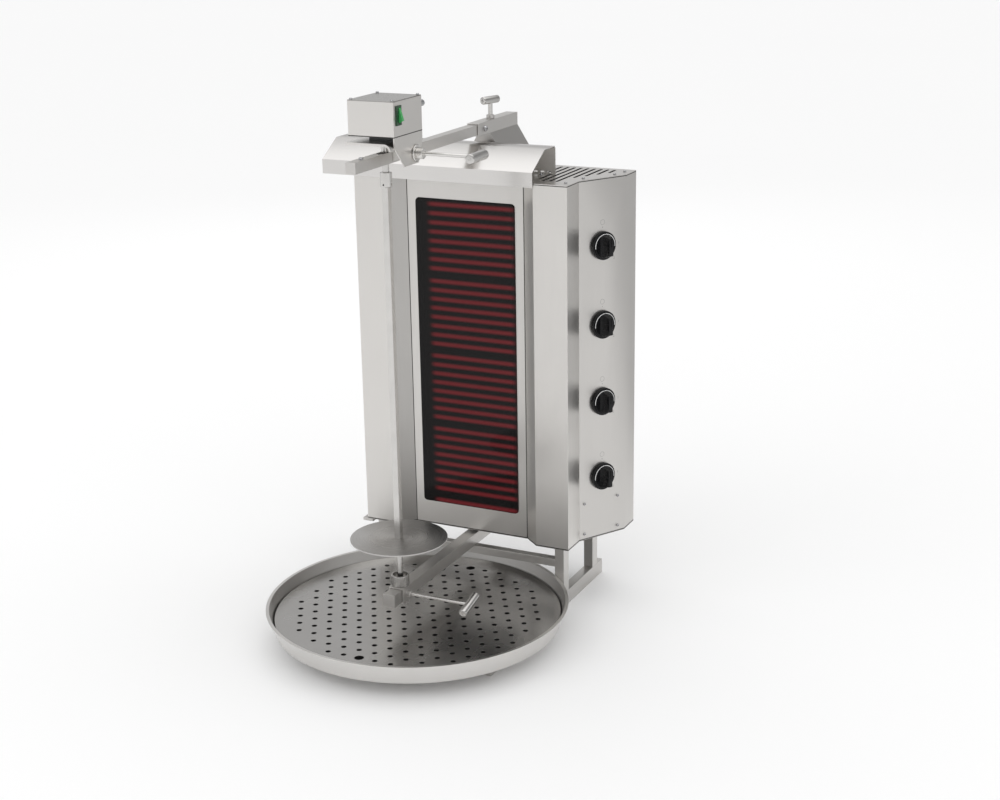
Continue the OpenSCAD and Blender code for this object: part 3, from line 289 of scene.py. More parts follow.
def brushed(name, colour, grain, rough=(0.30, 0.40), depth=GRAIN_DEEP):
    """Steel brushed along one axis."""
    made, tree, shader = new_material(name)
    fine = noise(tree, grain, 5)
    broad = noise(tree, BROAD, 2)
    drifted = tint(tree, broad, shade(colour, DRIFT_SHARE), colour)
    shader.inputs["Metallic"].default_value = 1.0
    tree.links.new(drifted, shader.inputs["Base Color"])
    tree.links.new(spread(tree, fine, *rough), shader.inputs["Roughness"])
    tree.links.new(relief(tree, fine, depth, 0.3), shader.inputs["Normal"])
    return made


print("grain", FINE, "lines a metre")

# %% [markdown]
# ### One steel, many tones
# The same sheet looks lighter or darker by the way it faces and by how finely it was ground.
# Most of that comes from the room. The rest is painted here as light and shade, as shares of two
# colours: that of the front of the body and that of its sides, which is the same steel painted
# darker as shade.

# %% Steels of the grill
PANEL = (0.70, 0.682, 0.658)
# The colour of the sides is the front's steel painted darker, as shade; the tubes of the frame
# take that tone too.
SIDE = (0.62, 0.604, 0.584)
HOOD = (0.67, 0.655, 0.64)
SMOOTH = 0.005 * MM
TUBE_ROUGH = (0.30, 0.42)
# Painted shade: the recessed front panel, the sides, the underside and the lid are darker copies
# of one steel, and the hood is a little darker. Painted light: the case is lighter than the
# front, and the covers are lighter than the sides.
steel_front = brushed("steel_front", PANEL, UPRIGHT)
steel_panel_shaded = brushed("steel_panel_shaded", shade(PANEL, 0.93), UPRIGHT)
steel_slope_shaded = brushed("steel_slope_shaded", shade(PANEL, 0.70), UPRIGHT)
steel_side_shaded = brushed("steel_side_shaded", SIDE, UPRIGHT)
steel_cover = brushed("steel_cover", shade(SIDE, 1.1), CROSSWISE, (0.29, 0.33), SMOOTH)
steel_under_shaded = brushed("steel_under_shaded", shade(SIDE, 0.55), CROSSWISE, (0.35, 0.42), SMOOTH)
steel_hood = brushed("steel_hood", HOOD, CROSSWISE, (0.20, 0.22), SMOOTH)
steel_inner_lit = brushed("steel_inner_lit", shade(PANEL, 1.2), CROSSWISE, (0.6, 0.7), SMOOTH)
steel_case = brushed("steel_case", shade(PANEL, 1.04), LEVEL, (0.275, 0.282), SMOOTH / 4)
steel_lid_shaded = brushed("steel_lid_shaded", shade(PANEL, 0.54), CROSSWISE, (0.27, 0.28), SMOOTH / 2)
steel_line_shade = brushed("steel_line_shade", shade(SIDE, 0.13), CROSSWISE, (0.45, 0.55), SMOOTH)
steel_tube = brushed("steel_tube", SIDE, LENGTHWISE, TUBE_ROUGH)
steel_post = brushed("steel_post", SIDE, UPRIGHT, TUBE_ROUGH)
steel_cross = brushed("steel_cross", SIDE, CROSSWISE, TUBE_ROUGH)
print("steels:", steel_front.name, steel_side_shaded.name, steel_tube.name)

# %% [markdown]
# ### Rolled, turned and cast metal
# Loose sheets such as the tray are cold rolled: an even, slightly cloudy skin without a grain.
# Rods and bosses come off a lathe, so their marks run round them: the noise is squeezed along
# the axis only. The gear motor is cast and painted, with a coarse skin.

# %% Rolled sheet
BARE = (0.72, 0.705, 0.685)
ROLLED_CLOUD = (9, 9, 9)
ROLLED_SKIN = (700, 700, 700)
ROLLED_DEEP = 0.012 * MM
ROLLED_SHARE = 0.94


def rolled(name, colour, rough=(0.29, 0.33)):
    """Cold rolled sheet with a cloudy skin."""
    made, tree, shader = new_material(name)
    cloud = noise(tree, ROLLED_CLOUD, 3)
    skin = noise(tree, ROLLED_SKIN, 2)
    clouded = tint(tree, cloud, shade(colour, ROLLED_SHARE), colour)
    shader.inputs["Metallic"].default_value = 1.0
    tree.links.new(clouded, shader.inputs["Base Color"])
    tree.links.new(spread(tree, cloud, *rough), shader.inputs["Roughness"])
    tree.links.new(relief(tree, skin, ROLLED_DEEP, 0.25), shader.inputs["Normal"])
    return made


sheet_rolled = rolled("sheet_rolled", BARE)
# The insert is the tray's steel painted darker, as painted shade and the dark reflection it
# shows.
insert_shaded = rolled("insert_shaded", shade(BARE, 0.72), (0.25, 0.28))
tray_shadow = rolled("tray_shadow", shade(BARE, 0.10), (0.45, 0.55))
print("rolled:", sheet_rolled.name, insert_shaded.name, tray_shadow.name)

# %% Turned rods and bosses
MARKS_X = (1600, 8, 8)
MARKS_Y = (8, 400, 8)
MARKS_Z = (8, 8, 1600)
TURNED_CLOUD = (40, 40, 40)
TURNED_DEEP = 0.015 * MM
TURNED_SHARE = 0.93


def turned(name, colour, marks, rough=(0.16, 0.28)):
    """Lathe-turned steel, with tool marks round its axis."""
    made, tree, shader = new_material(name)
    tool = noise(tree, marks, 2)
    cloud = noise(tree, TURNED_CLOUD, 3)
    clouded = tint(tree, cloud, shade(colour, TURNED_SHARE), colour)
    shader.inputs["Metallic"].default_value = 1.0
    tree.links.new(clouded, shader.inputs["Base Color"])
    tree.links.new(spread(tree, tool, *rough), shader.inputs["Roughness"])
    tree.links.new(relief(tree, tool, TURNED_DEEP, 0.3), shader.inputs["Normal"])
    return made


# The upright rods and the grips are the same steel as the rods across, painted darker as shade;
# the grips stand for the dark tray they mirror.
rod_upright_shaded = turned("rod_upright_shaded", shade(BARE, 0.88), MARKS_Z)
rod_across = turned("rod_across", BARE, MARKS_X)
grip_shaded = turned("grip_shaded", shade(BARE, 0.86), MARKS_Y, (0.24, 0.26))
screw_steel = turned("screw_steel", (0.50, 0.50, 0.51), MARKS_Z, (0.15, 0.25))
print("turned:", rod_upright_shaded.name, rod_across.name, grip_shaded.name)

# %% Cast metal
CAST_GRAIN = (420, 420, 420)
CAST_DEEP = 0.08 * MM
CAST_SHARE = 0.8


def cast(name, colour, metallic, rough=(0.45, 0.6)):
    """Cast metal with a coarse skin."""
    made, tree, shader = new_material(name)
    grain = noise(tree, CAST_GRAIN, 4)
    speckled = tint(tree, grain, shade(colour, CAST_SHARE), colour)
    shader.inputs["Metallic"].default_value = metallic
    tree.links.new(speckled, shader.inputs["Base Color"])
    tree.links.new(spread(tree, grain, *rough), shader.inputs["Roughness"])
    tree.links.new(relief(tree, grain, CAST_DEEP, 0.4), shader.inputs["Normal"])
    return made


motor_cast = cast("motor_cast", (0.17, 0.175, 0.18), 0.4)
gland_cast = cast("gland_cast", (0.50, 0.51, 0.52), 1.0, (0.3, 0.45))
print("cast:", motor_cast.name, gland_cast.name)

# %% [markdown]
# ### The faced disc
# The meat rests on a disc that was faced on a lathe, so fine rings run round the spit and the
# highlight fans out from the middle. Noise over the distance from the axis makes the rings.
# The fan could be painted, but a painted one would turn with the disc, which a real highlight
# doesn't do. A metal that is smoother along its rings than across them makes it by itself.

# %% Faced disc
DISC = (0.52, 0.508, 0.495)
DISC_RINGS = 600
DISC_ROUGH = (0.27, 0.31)
DISC_CLOUD = (30, 30, 30)
DISC_DEEP = 0.01 * MM
DISC_SHARE = 0.94
ALONG_RINGS = 0.7


def ring_turned(name, colour):
    """Steel faced on a lathe, with fine rings round the upright axis at the origin."""
    made, tree, shader = new_material(name)
    place = tree.nodes.new("ShaderNodeTexCoord")
    flat = tree.nodes.new("ShaderNodeMapping")
    flat.inputs["Scale"].default_value = (1, 1, 0)
    tree.links.new(place.outputs["Object"], flat.inputs["Vector"])
    reach = tree.nodes.new("ShaderNodeVectorMath")
    reach.operation = "LENGTH"
    tree.links.new(flat.outputs["Vector"], reach.inputs[0])
    ring = tree.nodes.new("ShaderNodeTexNoise")
    ring.noise_dimensions = "1D"
    ring.inputs["Scale"].default_value = DISC_RINGS
    ring.inputs["Detail"].default_value = 3
    tree.links.new(reach.outputs["Value"], ring.inputs["W"])
    cloud = noise(tree, DISC_CLOUD, 3)
    clouded = tint(tree, cloud, shade(colour, DISC_SHARE), colour)
    round_axis = tree.nodes.new("ShaderNodeVectorMath")
    round_axis.operation = "CROSS_PRODUCT"
    round_axis.inputs[1].default_value = (0, 0, 1)
    tree.links.new(flat.outputs["Vector"], round_axis.inputs[0])
    tree.links.new(round_axis.outputs["Vector"], shader.inputs["Tangent"])
    shader.inputs["Anisotropic"].default_value = ALONG_RINGS
    shader.inputs["Metallic"].default_value = 1.0
    tree.links.new(clouded, shader.inputs["Base Color"])
    tree.links.new(spread(tree, ring.outputs["Fac"], *DISC_ROUGH), shader.inputs["Roughness"])
    tree.links.new(relief(tree, ring.outputs["Fac"], DISC_DEEP, 0.2), shader.inputs["Normal"])
    return made


disc_turned = ring_turned("disc_turned", DISC)
print("disc with", DISC_RINGS, "rings a metre")

# %% [markdown]
# ### Plastics, rubber and the cold heater
# The knobs are moulded thermoset: nearly black, with a faint cloud and a soft shine. The seal of
# the glass is duller. Dishes, boards and ribbons of the heater are painted nearly black as well,
# as shade behind the smoked glass, because the glass before them carries their glow, as the next
# step shows.

# %% Plastics and rubber
MOULDED_CLOUD = (60, 60, 60)
MOULDED_SKIN = (1500, 1500, 1500)
MOULDED_DEEP = 0.01 * MM
SEAL_DEEP = 0.03 * MM
DULL = 0.05
# Near black painted on the heater's dishes and boards, as shade behind the glass.
HEATER_SHADE = (0.012, 0.012, 0.012)


def moulded(name, colour, rough, cloud_share=0.7, depth=MOULDED_DEEP, shine=0.5):
    """Moulded plastic with a faint cloud and a fine skin."""
    made, tree, shader = new_material(name)
    shader.inputs["Specular IOR Level"].default_value = shine
    cloud = noise(tree, MOULDED_CLOUD, 4)
    skin = noise(tree, MOULDED_SKIN, 2)
    clouded = tint(tree, cloud, shade(colour, cloud_share), colour)
    tree.links.new(clouded, shader.inputs["Base Color"])
    tree.links.new(spread(tree, cloud, *rough), shader.inputs["Roughness"])
    tree.links.new(relief(tree, skin, depth, 0.3), shader.inputs["Normal"])
    return made


knob_black = moulded("knob_black", (0.006, 0.006, 0.007), (0.24, 0.30), shine=0.22)
# A pale line painted on the rim of each knob stands in for its highlight.
arc_highlight = moulded("arc_highlight", (0.85, 0.85, 0.85), (0.25, 0.35), 0.95)
plug_black = moulded("plug_black", (0.03, 0.03, 0.03), (0.5, 0.65))
seal_black = moulded("seal_black", (0.02, 0.02, 0.02), (0.6, 0.75), 0.6, SEAL_DEEP)
switch_green = moulded("switch_green", (0.055, 0.36, 0.10), (0.18, 0.26), 0.85)
# The bezel is the rocker's green painted much darker, as painted shade in the pocket round the
# rocker.
frame_green_shaded = moulded("frame_green_shaded", (0.010, 0.055, 0.022), (0.25, 0.35))
mark_grey = moulded("mark_grey", (0.36, 0.35, 0.34), (0.4, 0.5))
dish_black = moulded("dish_black", HEATER_SHADE, (0.9, 1.0), shine=DULL)
board_dark = moulded("board_dark", HEATER_SHADE, (0.9, 1.0), shine=DULL)
ribbon_dark = moulded("ribbon_dark", (0.030, 0.016, 0.014), (0.9, 1.0), shine=DULL)
print("plastics:", knob_black.name, switch_green.name)

# %% [markdown]
# ### The glow in the glass
# Behind dark glass a heater shows as soft dull red lines, not as a sharp strip of metal.
# The smoke in the glass scatters that light, so the glass itself carries the glow: brightest on
# each line, fading over some millimetres above and below it, and again towards its ends.
# The lines lie some millimetres behind the glass, so they are moved by as much as they seem to.
# The height of a point within its zone, taken modulo the zone and then modulo the line, gives
# its distance from the nearest line. Where the zones lie is read from the box of the ribbons.

# %% Helpers for the glow
def arithmetic(tree, operation, first, second):
    """One sum on two values, each a socket or a plain number."""
    node = tree.nodes.new("ShaderNodeMath")
    node.operation = operation
    for socket, value in zip(node.inputs, (first, second)):
        if isinstance(value, (int, float)):
            socket.default_value = value
        else:
            tree.links.new(value, socket)
    return node.outputs["Value"]


def fade(tree, distance, near, far):
    """One at near, nothing at far, with a soft run between."""
    run = tree.nodes.new("ShaderNodeMapRange")
    run.interpolation_type = "SMOOTHERSTEP"
    run.inputs["From Min"].default_value = near
    run.inputs["From Max"].default_value = far
    run.inputs["To Min"].default_value = 1.0
    run.inputs["To Max"].default_value = 0.0
    tree.links.new(distance, run.inputs["Value"])
    return run.outputs["Result"]


print("helpers:", arithmetic.__name__, fade.__name__)

# %% Lines of the glow
ZONES = 4
LINES = 8
LINE_SPAN = 137.2 * MM
RIBBON_TALL = 7 * MM
GLOW_RIGHT = 14 * MM
GLOW_UP = 4 * MM
GLOW_FADE = 7.6 * MM
GLOW_OUT = 9 * MM
GLOW_END = 20 * MM
LINE_CUT_SHARE = 1 / 8


def glow_level(tree):
    """Share of the glow at a point, from its height and its distance from the middle."""
    low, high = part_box("heater_ribbons")
    zone = (high[2] - low[2] - LINE_SPAN) / (ZONES - 1)
    line = (LINE_SPAN - RIBBON_TALL) / (LINES - 1)
    place = tree.nodes.new("ShaderNodeTexCoord")
    split = tree.nodes.new("ShaderNodeSeparateXYZ")
    tree.links.new(place.outputs["Object"], split.inputs["Vector"])
    first = low[2] + RIBBON_TALL / 2 + GLOW_UP
    above = arithmetic(tree, "SUBTRACT", split.outputs["Z"], first - line / 2)
    in_zone = arithmetic(tree, "MODULO", arithmetic(tree, "ADD", above, zone), zone)
    in_line = arithmetic(tree, "MODULO", in_zone, line)
    off_line = arithmetic(tree, "ABSOLUTE", arithmetic(tree, "SUBTRACT", in_line, line / 2), 0)
    on_line = fade(tree, off_line, 0.0, GLOW_FADE)
    within = fade(tree, in_zone, (LINES - LINE_CUT_SHARE) * line, LINES * line)
    moved = arithmetic(tree, "SUBTRACT", split.outputs["X"], GLOW_RIGHT)
    sideways = arithmetic(tree, "ABSOLUTE", moved, 0)
    end = high[0] + GLOW_OUT
    inside = fade(tree, sideways, end - GLOW_END, end)
    return arithmetic(tree, "MULTIPLY", arithmetic(tree, "MULTIPLY", on_line, within), inside)


print("glow of", ZONES, "zones of", LINES, "lines")

# %% [markdown]
# ### The glass
# Heat-proof glass for a grill is smoked, so little more than the glow passes. A nearly closed
# surface with a dark cloud gives that without the noise of a clear, deep glass. Its glow is
# kept out of mirror rays, or it would redden the steel beside it.

# %% Glass
GLOW = (0.40, 0.030, 0.040)
GLOW_POWER = 0.29
GLASS_ALPHA = 0.9
GLASS_IOR = 1.45
GLASS_SHINE = 0.14
GLASS_ROUGH = (0.05, 0.08)
GLASS_CLOUD = (9, 9, 9)
SMOKE_DARK = (0.0105, 0.0098, 0.0098)
SMOKE_LIGHT = (0.0120, 0.0112, 0.0112)


def dark_glass():
    """Smoked heat-proof glass that carries the glow of the heater behind it."""
    made, tree, shader = new_material("dark_glass")
    haze = noise(tree, GLASS_CLOUD, 3)
    shader.inputs["Metallic"].default_value = 0.0
    shader.inputs["IOR"].default_value = GLASS_IOR
    shader.inputs["Alpha"].default_value = GLASS_ALPHA
    shader.inputs["Specular IOR Level"].default_value = GLASS_SHINE
    shader.inputs["Emission Color"].default_value = (*GLOW, 1)
    ray = tree.nodes.new("ShaderNodeLightPath")
    unmirrored = arithmetic(tree, "SUBTRACT", GLOW_POWER, ray.outputs["Is Glossy Ray"])
    power = arithmetic(tree, "MAXIMUM", unmirrored, 0.0)
    glow = arithmetic(tree, "MULTIPLY", glow_level(tree), power)
    tree.links.new(glow, shader.inputs["Emission Strength"])
    smoke = tint(tree, haze, SMOKE_DARK, SMOKE_LIGHT)
    tree.links.new(smoke, shader.inputs["Base Color"])
    tree.links.new(spread(tree, haze, *GLASS_ROUGH), shader.inputs["Roughness"])
    return made


glass_dark = dark_glass()
print("glow:", GLOW, "at", GLOW_POWER)

# %% [markdown]
# ## Tools for shapes
# The rest of the lesson uses a few tools again and again: one to select a piece and apply a
# modifier to it, one to name it and set it on its body, and some that add a cylinder or a box,
# cut, join and move. Each is a short run of the operators that a hand would choose.

# %% Select, finish and name
def pick(piece):
    """Makes piece the only selected and active object."""
    bpy.ops.object.select_all(action="DESELECT")
    piece.select_set(True)
    bpy.context.view_layer.objects.active = piece


def use(piece, kind, **settings):
    """Adds a modifier with its settings and applies it."""
    pick(piece)
    added = piece.modifiers.new(kind.lower(), kind)
    for name, value in settings.items():
        setattr(added, name, value)
    bpy.ops.object.modifier_apply(modifier=added.name)


def bevel(piece, width, steps, angle):
    """Rounds the edges that are sharper than an angle in degrees."""
    use(piece, "BEVEL", width=width, segments=steps, limit_method="ANGLE",
        angle_limit=math.radians(angle))


def smooth(piece, angle):
    """Smooth shading except over edges sharper than an angle in degrees."""
    pick(piece)
    bpy.ops.object.shade_smooth_by_angle(angle=math.radians(angle))


def dress(piece, name, body, slot, material, *nodes):
    """Names the piece and gives it its body, material and the parts it stands for; slot is not
    used.
    """
    piece.name = name
    piece.data.name = name
    piece.data.materials.clear()
    piece.data.materials.append(material)
    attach(piece, body)
    if nodes:
        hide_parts(*nodes)
    return piece


# %% Edit a piece
def edit(piece, select):
    """Enters edit mode with the faces chosen by a test on each face."""
    pick(piece)
    bpy.ops.object.mode_set(mode="EDIT")
    bpy.ops.mesh.select_mode(type="FACE")
    bpy.ops.mesh.select_all(action="DESELECT")
    bpy.ops.object.mode_set(mode="OBJECT")
    for face in piece.data.polygons:
        face.select = select(face)
    bpy.ops.object.mode_set(mode="EDIT")


def done():
    """Leaves edit mode and returns the piece."""
    bpy.ops.object.mode_set(mode="OBJECT")
    return bpy.context.object


def keep_part(piece, low, high, axis=2):
    """Keeps what lies between two places on an axis, closed at both ends."""
    facing = [0, 0, 0]
    facing[axis] = 1
    pick(piece)
    bpy.ops.object.mode_set(mode="EDIT")
    for place, side in ((low, "clear_inner"), (high, "clear_outer")):
        bpy.ops.mesh.select_all(action="SELECT")
        bpy.ops.mesh.bisect(plane_co=[place * share for share in facing], plane_no=facing,
                            use_fill=True, **{side: True})
    return done()


def paint(piece, material, chosen):
    """Gives another finish to the faces that pass a test."""
    piece.data.materials.append(material)
    for face in piece.data.polygons:
        if chosen(face):
            face.material_index = len(piece.data.materials) - 1


print("edit tools:", edit.__name__, keep_part.__name__, paint.__name__)

# %% Add, cut, join and move
def cylinder(radius, low, high, sides, top=None, lean=0, at=(0, 0, 0)):
    """Cylinder or cone between two heights, which may then lean round X and be moved."""
    bpy.ops.object.select_all(action="DESELECT")
    bpy.ops.mesh.primitive_cone_add(vertices=sides, radius1=radius,
                                    radius2=radius if top is None else top,
                                    depth=high - low, location=(0, 0, (low + high) / 2))
    bpy.ops.object.transform_apply(location=True, rotation=False, scale=False)
    made = bpy.context.object
    made.matrix_world = Matrix.Translation(at) @ Matrix.Rotation(lean, 4, "X")
    bpy.ops.object.transform_apply(location=True, rotation=True, scale=False)
    return made


def box(low, high):
    """Box between two corners."""
    bpy.ops.object.select_all(action="DESELECT")
    middle = [(a + b) / 2 for a, b in zip(low, high)]
    size = [b - a for a, b in zip(low, high)]
    bpy.ops.mesh.primitive_cube_add(size=1, location=middle, scale=size)
    bpy.ops.object.transform_apply(location=True, rotation=False, scale=True)
    return bpy.context.object


def cut(piece, tool):
    """Takes the tool away from the piece."""
    use(piece, "BOOLEAN", operation="DIFFERENCE", object=tool)
    bpy.data.objects.remove(tool)
    return piece


def join(pieces):
    """Joins pieces into the first."""
    bpy.ops.object.select_all(action="DESELECT")
    for piece in pieces:
        piece.select_set(True)
    bpy.context.view_layer.objects.active = pieces[0]
    bpy.ops.object.join()
    return pieces[0]


def settle(piece, matrix):
    """Moves the mesh itself, so that the piece stays at the origin."""
    piece.matrix_world = matrix
    pick(piece)
    bpy.ops.object.transform_apply(location=True, rotation=True, scale=True)
    return piece


print("shape tools:", cylinder.__name__, box.__name__, cut.__name__)

# %% [markdown]
# ## Softening folded sheet and tube
# A real sheet has no knife edge: shears and press brakes leave a radius of some tenths of a
# millimetre, and it is this radius that catches the light along every edge.
# Each part of the frame is loose triangles, so a copy is welded, flat faces are joined, and a
# narrow bevel runs along the sharp edges. The copy then stands for the part.

# %% Soften a part
SLOTS = {row["node"]: row["material_slot"] for row in frame["record"]["subparts"]}
BODIES = {node: part["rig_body"] for node, part in frame["nodes"].items()}
WELD = 0.002 * MM
FLAT_ANGLE = math.radians(0.5)
SHEET_EDGE = 0.35 * MM
EDGE_ANGLE = 40


def copy_of(node):
    """Welded copy of a part of the frame, with its flat faces joined."""
    source = frame["nodes"][node]
    piece = bpy.data.objects.new(node + "_dressed", source.data.copy())
    scene.collection.objects.link(piece)
    pick(piece)
    bpy.ops.object.mode_set(mode="EDIT")
    bpy.ops.mesh.select_all(action="SELECT")
    bpy.ops.mesh.remove_doubles(threshold=WELD)
    bpy.ops.mesh.dissolve_limited(angle_limit=FLAT_ANGLE)
    return done()


def rounded(node, width, steps):
    """Copy of a part of the frame with rounded edges."""
    piece = copy_of(node)
    bevel(piece, width, steps, EDGE_ANGLE)
    smooth(piece, EDGE_ANGLE)
    use(piece, "WEIGHTED_NORMAL", keep_sharp=True)
    return piece


def soften(node, material, width=SHEET_EDGE, steps=2):
    """Stands a copy with rounded edges in for a part of the frame."""
    piece = rounded(node, width, steps)
    return dress(piece, node + "_dressed", BODIES[node], SLOTS[node], material, node)


print("parts to dress:", len(BODIES))

# %% [markdown]
# ### Sheets of the body
# The body is folded from stainless sheet. Its edges could be rounded one by one; the same narrow
# bevel on every part keeps them alike. The slope of the left wing mirrors the dark glass, so it
# is painted a darker steel as painted shade, and the inside of the hood is painted a lighter
# steel as painted light in its hollow. They are chosen by their normals, so that no seam has to
# be cut.

# %% Body sheets
THIN_EDGE = 0.25 * MM
SLOPE_SPAN = (0.2, 0.98)
SLOPE_FORWARD = -0.15


def inner_slope(face):
    """True for the sloping face of the left wing that looks at the glass."""
    sloping = SLOPE_SPAN[0] < face.normal.x < SLOPE_SPAN[1]
    return sloping and face.normal.y < SLOPE_FORWARD


soften("front_panel", steel_panel_shaded)
soften("wing_right", steel_front)
# The sloping face gets a darker steel: painted shade for the dark glass it mirrors.
paint(soften("wing_left", steel_front), steel_slope_shaded, inner_slope)
for node in ("control_panel", "side_panel_left", "rear_panel"):
    soften(node, steel_side_shaded)
for node in ("top_cover_right", "top_cover_left"):
    soften(node, steel_cover, THIN_EDGE)
soften("bottom_plate", steel_under_shaded, THIN_EDGE)
print("body sheets done")

# %% Hood and lug
HOOD_LOW, HOOD_HIGH = (Vector(corner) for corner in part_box("hood"))
HOOD_MIDDLE = (HOOD_LOW + HOOD_HIGH) / 2
SIDE_FACE = 0.5


def inside_hood(face):
    """True for a face of the hood that looks at its own hollow."""
    outward = face.center - HOOD_MIDDLE
    outward.x = 0
    return abs(face.normal.x) < SIDE_FACE and face.normal.dot(outward) < 0


# The inside of the hood gets a lighter steel, as painted light in its shaded hollow.
paint(soften("hood", steel_hood), steel_inner_lit, inside_hood)
soften("left_lug", steel_side_shaded)
print("hood", round((HOOD_HIGH - HOOD_LOW).x / MM), "mm wide")

# %% [markdown]
# ### Frame and arms
# Square tube is drawn, so its corners are rounder than those of sheet and its grain runs along
# it. The plugs in the ends of the tubes are one part in the frame. It is cut at a height
# between the floor beams and the arms, so that each half can match the tubes that it closes.

# %% Frame, arms and bracket
TUBE_EDGE = 0.6 * MM
TUBE_STEPS = 3
for node in ("floor_beam_right", "floor_beam_left", "lower_arm", "top_arm", "rear_sleeve",
             "sleeve_collar", "lower_carriage"):
    soften(node, steel_tube, TUBE_EDGE, TUBE_STEPS)
for node in ("post_front_right", "post_front_left", "post_rear_right", "post_rear_left"):
    soften(node, steel_post, TUBE_EDGE, TUBE_STEPS)
for node in ("cross_beam_front", "cross_beam_rear"):
    soften(node, steel_cross, TUBE_EDGE, TUBE_STEPS)
for node in ("arm_bracket", "rear_spine"):
    soften(node, steel_side_shaded)
print("frame and arms done")

# %% Plugs of the tubes
PLUG_EDGE = 0.5 * MM
ARM_HEIGHT = 0.06
BELOW_ALL = -1
ABOVE_ALL = 2
PLUGS = (
    ("floor_beam_caps", BELOW_ALL, ARM_HEIGHT, steel_tube),
    ("arm_caps", ARM_HEIGHT, ABOVE_ALL, steel_cross),
)
for name, low, high, material in PLUGS:
    plugs = keep_part(rounded("end_caps", PLUG_EDGE, 2), low, high)
    dress(plugs, name, "base", "tube_steel", material, "end_caps")
print("plugs:", [row[0] for row in PLUGS])

# %% [markdown]
# ### Lines where sheets meet
# Every fold and joint of the sheets shows as a thin dark line, because no light gets in there.
# A slice of the sheet itself, painted dark, makes such a line of painted shade: it is cut from a
# copy, and swelled by a tenth of a millimetre, so that it follows each corner and lies just
# proud of the metal.

# %% Dark lines
LINE_WIDE = 1.5 * MM
LINE_PROUD = 0.12 * MM
UPRIGHT_SHEETS = ("wing_right", "wing_left", "control_panel", "side_panel_left")


def dark_line(node, axis, low, high, mark):
    """Thin slice of a part between two places on an axis, painted dark as shade."""
    piece = keep_part(copy_of(node), low, high, axis)
    edit(piece, lambda face: True)
    bpy.ops.transform.shrink_fatten(value=LINE_PROUD)
    return dress(done(), node + mark, BODIES[node], SLOTS[node], steel_line_shade)


for node in ("front_panel", *UPRIGHT_SHEETS, "rear_panel"):
    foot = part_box(node)[0][2]
    dark_line(node, 2, foot - MM, foot + LINE_WIDE, "_foot_line")
for node in UPRIGHT_SHEETS:
    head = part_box(node)[1][2]
    dark_line(node, 2, head - LINE_WIDE, head + MM, "_head_line")
left, right = (corner[0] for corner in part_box("front_panel"))
dark_line("front_panel", 0, left - MM, left + LINE_WIDE, "_left_line")
dark_line("front_panel", 0, right - LINE_WIDE, right + MM, "_right_line")
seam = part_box("motor_case")[0][2]
dark_line("motor_case", 2, seam - MM, seam + LINE_WIDE, "_seam")
print("dark lines", LINE_WIDE / MM, "mm wide")

# %% [markdown]
# ### Motor head, spit and bearing
# Pressed, cast, moulded and turned parts have larger radii than folded sheet, and they differ,
# so each part has a radius of its own. A table of them is easier to compare and to change than
# a row of calls. The radii are in millimetres, and the last number is the steps of the curve.

# %% Motor head
HEAD_PARTS = (
    ("head_saddle", steel_case, 0.5, 3),
    ("head_guide", sheet_rolled, 0.4, 2),
    ("motor_case", steel_case, 0.9, 3),
    ("motor_lid", steel_lid_shaded, 0.8, 3),
    ("gearmotor", motor_cast, 1.5, 3),
    ("motor_gland", gland_cast, 0.6, 2),
    ("switch_bezel", frame_green_shaded, 0.3, 2),
    ("rocker", switch_green, 0.5, 3),
)
for node, material, radius, steps in HEAD_PARTS:
    soften(node, material, radius * MM, steps)
print("motor head:", len(HEAD_PARTS), "parts")

# %% Spit, bearing and clamps
SPIT_PARTS = (
    ("drive_shaft", rod_upright_shaded, 0.5, 2),
    ("coupling_sleeve", rod_upright_shaded, 0.6, 3),
    ("coupling_pin", rod_across, 0.4, 2),
    ("spit_rod", rod_upright_shaded, 0.4, 2),
    ("meat_disc", disc_turned, 0.4, 3),
    ("bearing_cup", rod_upright_shaded, 0.6, 3),
    ("head_clamp", rod_across, 0.5, 2),
    ("lower_clamp", rod_across, 0.5, 2),
    ("rear_clamp", rod_upright_shaded, 0.5, 2),
)
for node, material, radius, steps in SPIT_PARTS:
    soften(node, material, radius * MM, steps)
print("spit:", len(SPIT_PARTS), "parts")

# %% [markdown]
# ### The tray and its insert
# Fat runs through the holes of the insert into the tray, and hardly any light follows it, so
# each hole reads as a black dot. Left to the light, the pale walls of the holes would glow, so
# they and the floor of the tray are painted dark, chosen by their normals and places.

# %% Tray
TRAY_EDGE = 0.5 * MM
INSERT_EDGE = 0.3 * MM
FOOT_EDGE = 0.4 * MM
INSERT_LOW, INSERT_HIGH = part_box("tray_insert")
HOLES_WITHIN = INSERT_HIGH[0] - 8 * MM
LEVEL_FACE = 0.9
STEEP_FACE = 0.5


def under_insert(face):
    """True for the floor of the tray, which stays dark below its insert."""
    return face.normal.z > LEVEL_FACE and face.center.z < INSERT_LOW[2]


def hole_wall(face):
    """True for the wall of a hole in the insert."""
    reach = math.hypot(face.center.x, face.center.y)
    return abs(face.normal.z) < STEEP_FACE and reach < HOLES_WITHIN


paint(soften("drip_tray", sheet_rolled, TRAY_EDGE, 3), tray_shadow, under_insert)
paint(soften("tray_insert", insert_shaded, INSERT_EDGE), tray_shadow, hole_wall)
soften("insert_feet", rod_upright_shaded, FOOT_EDGE)
print("insert", round((INSERT_HIGH[0] - INSERT_LOW[0]) / MM), "mm wide")

# %% [markdown]
# ### Grips of the clamps
# Each clamp is turned by a grip across its rod. The grip is a round bar with well rounded ends,
# a little thicker than the bar of the frame, so it is modelled round that bar.

# %% Grips
BAR_R = 6 * MM
GRIP_ROUND = 2.4 * MM
GRIPS = (
    ("head_clamp", 0, 9.0 * MM, 30 * MM, 0),
    ("lower_clamp", 0, 8.0 * MM, 30 * MM, 14),
    ("rear_clamp", 2, 7.6 * MM, 22.5 * MM, 16),
)


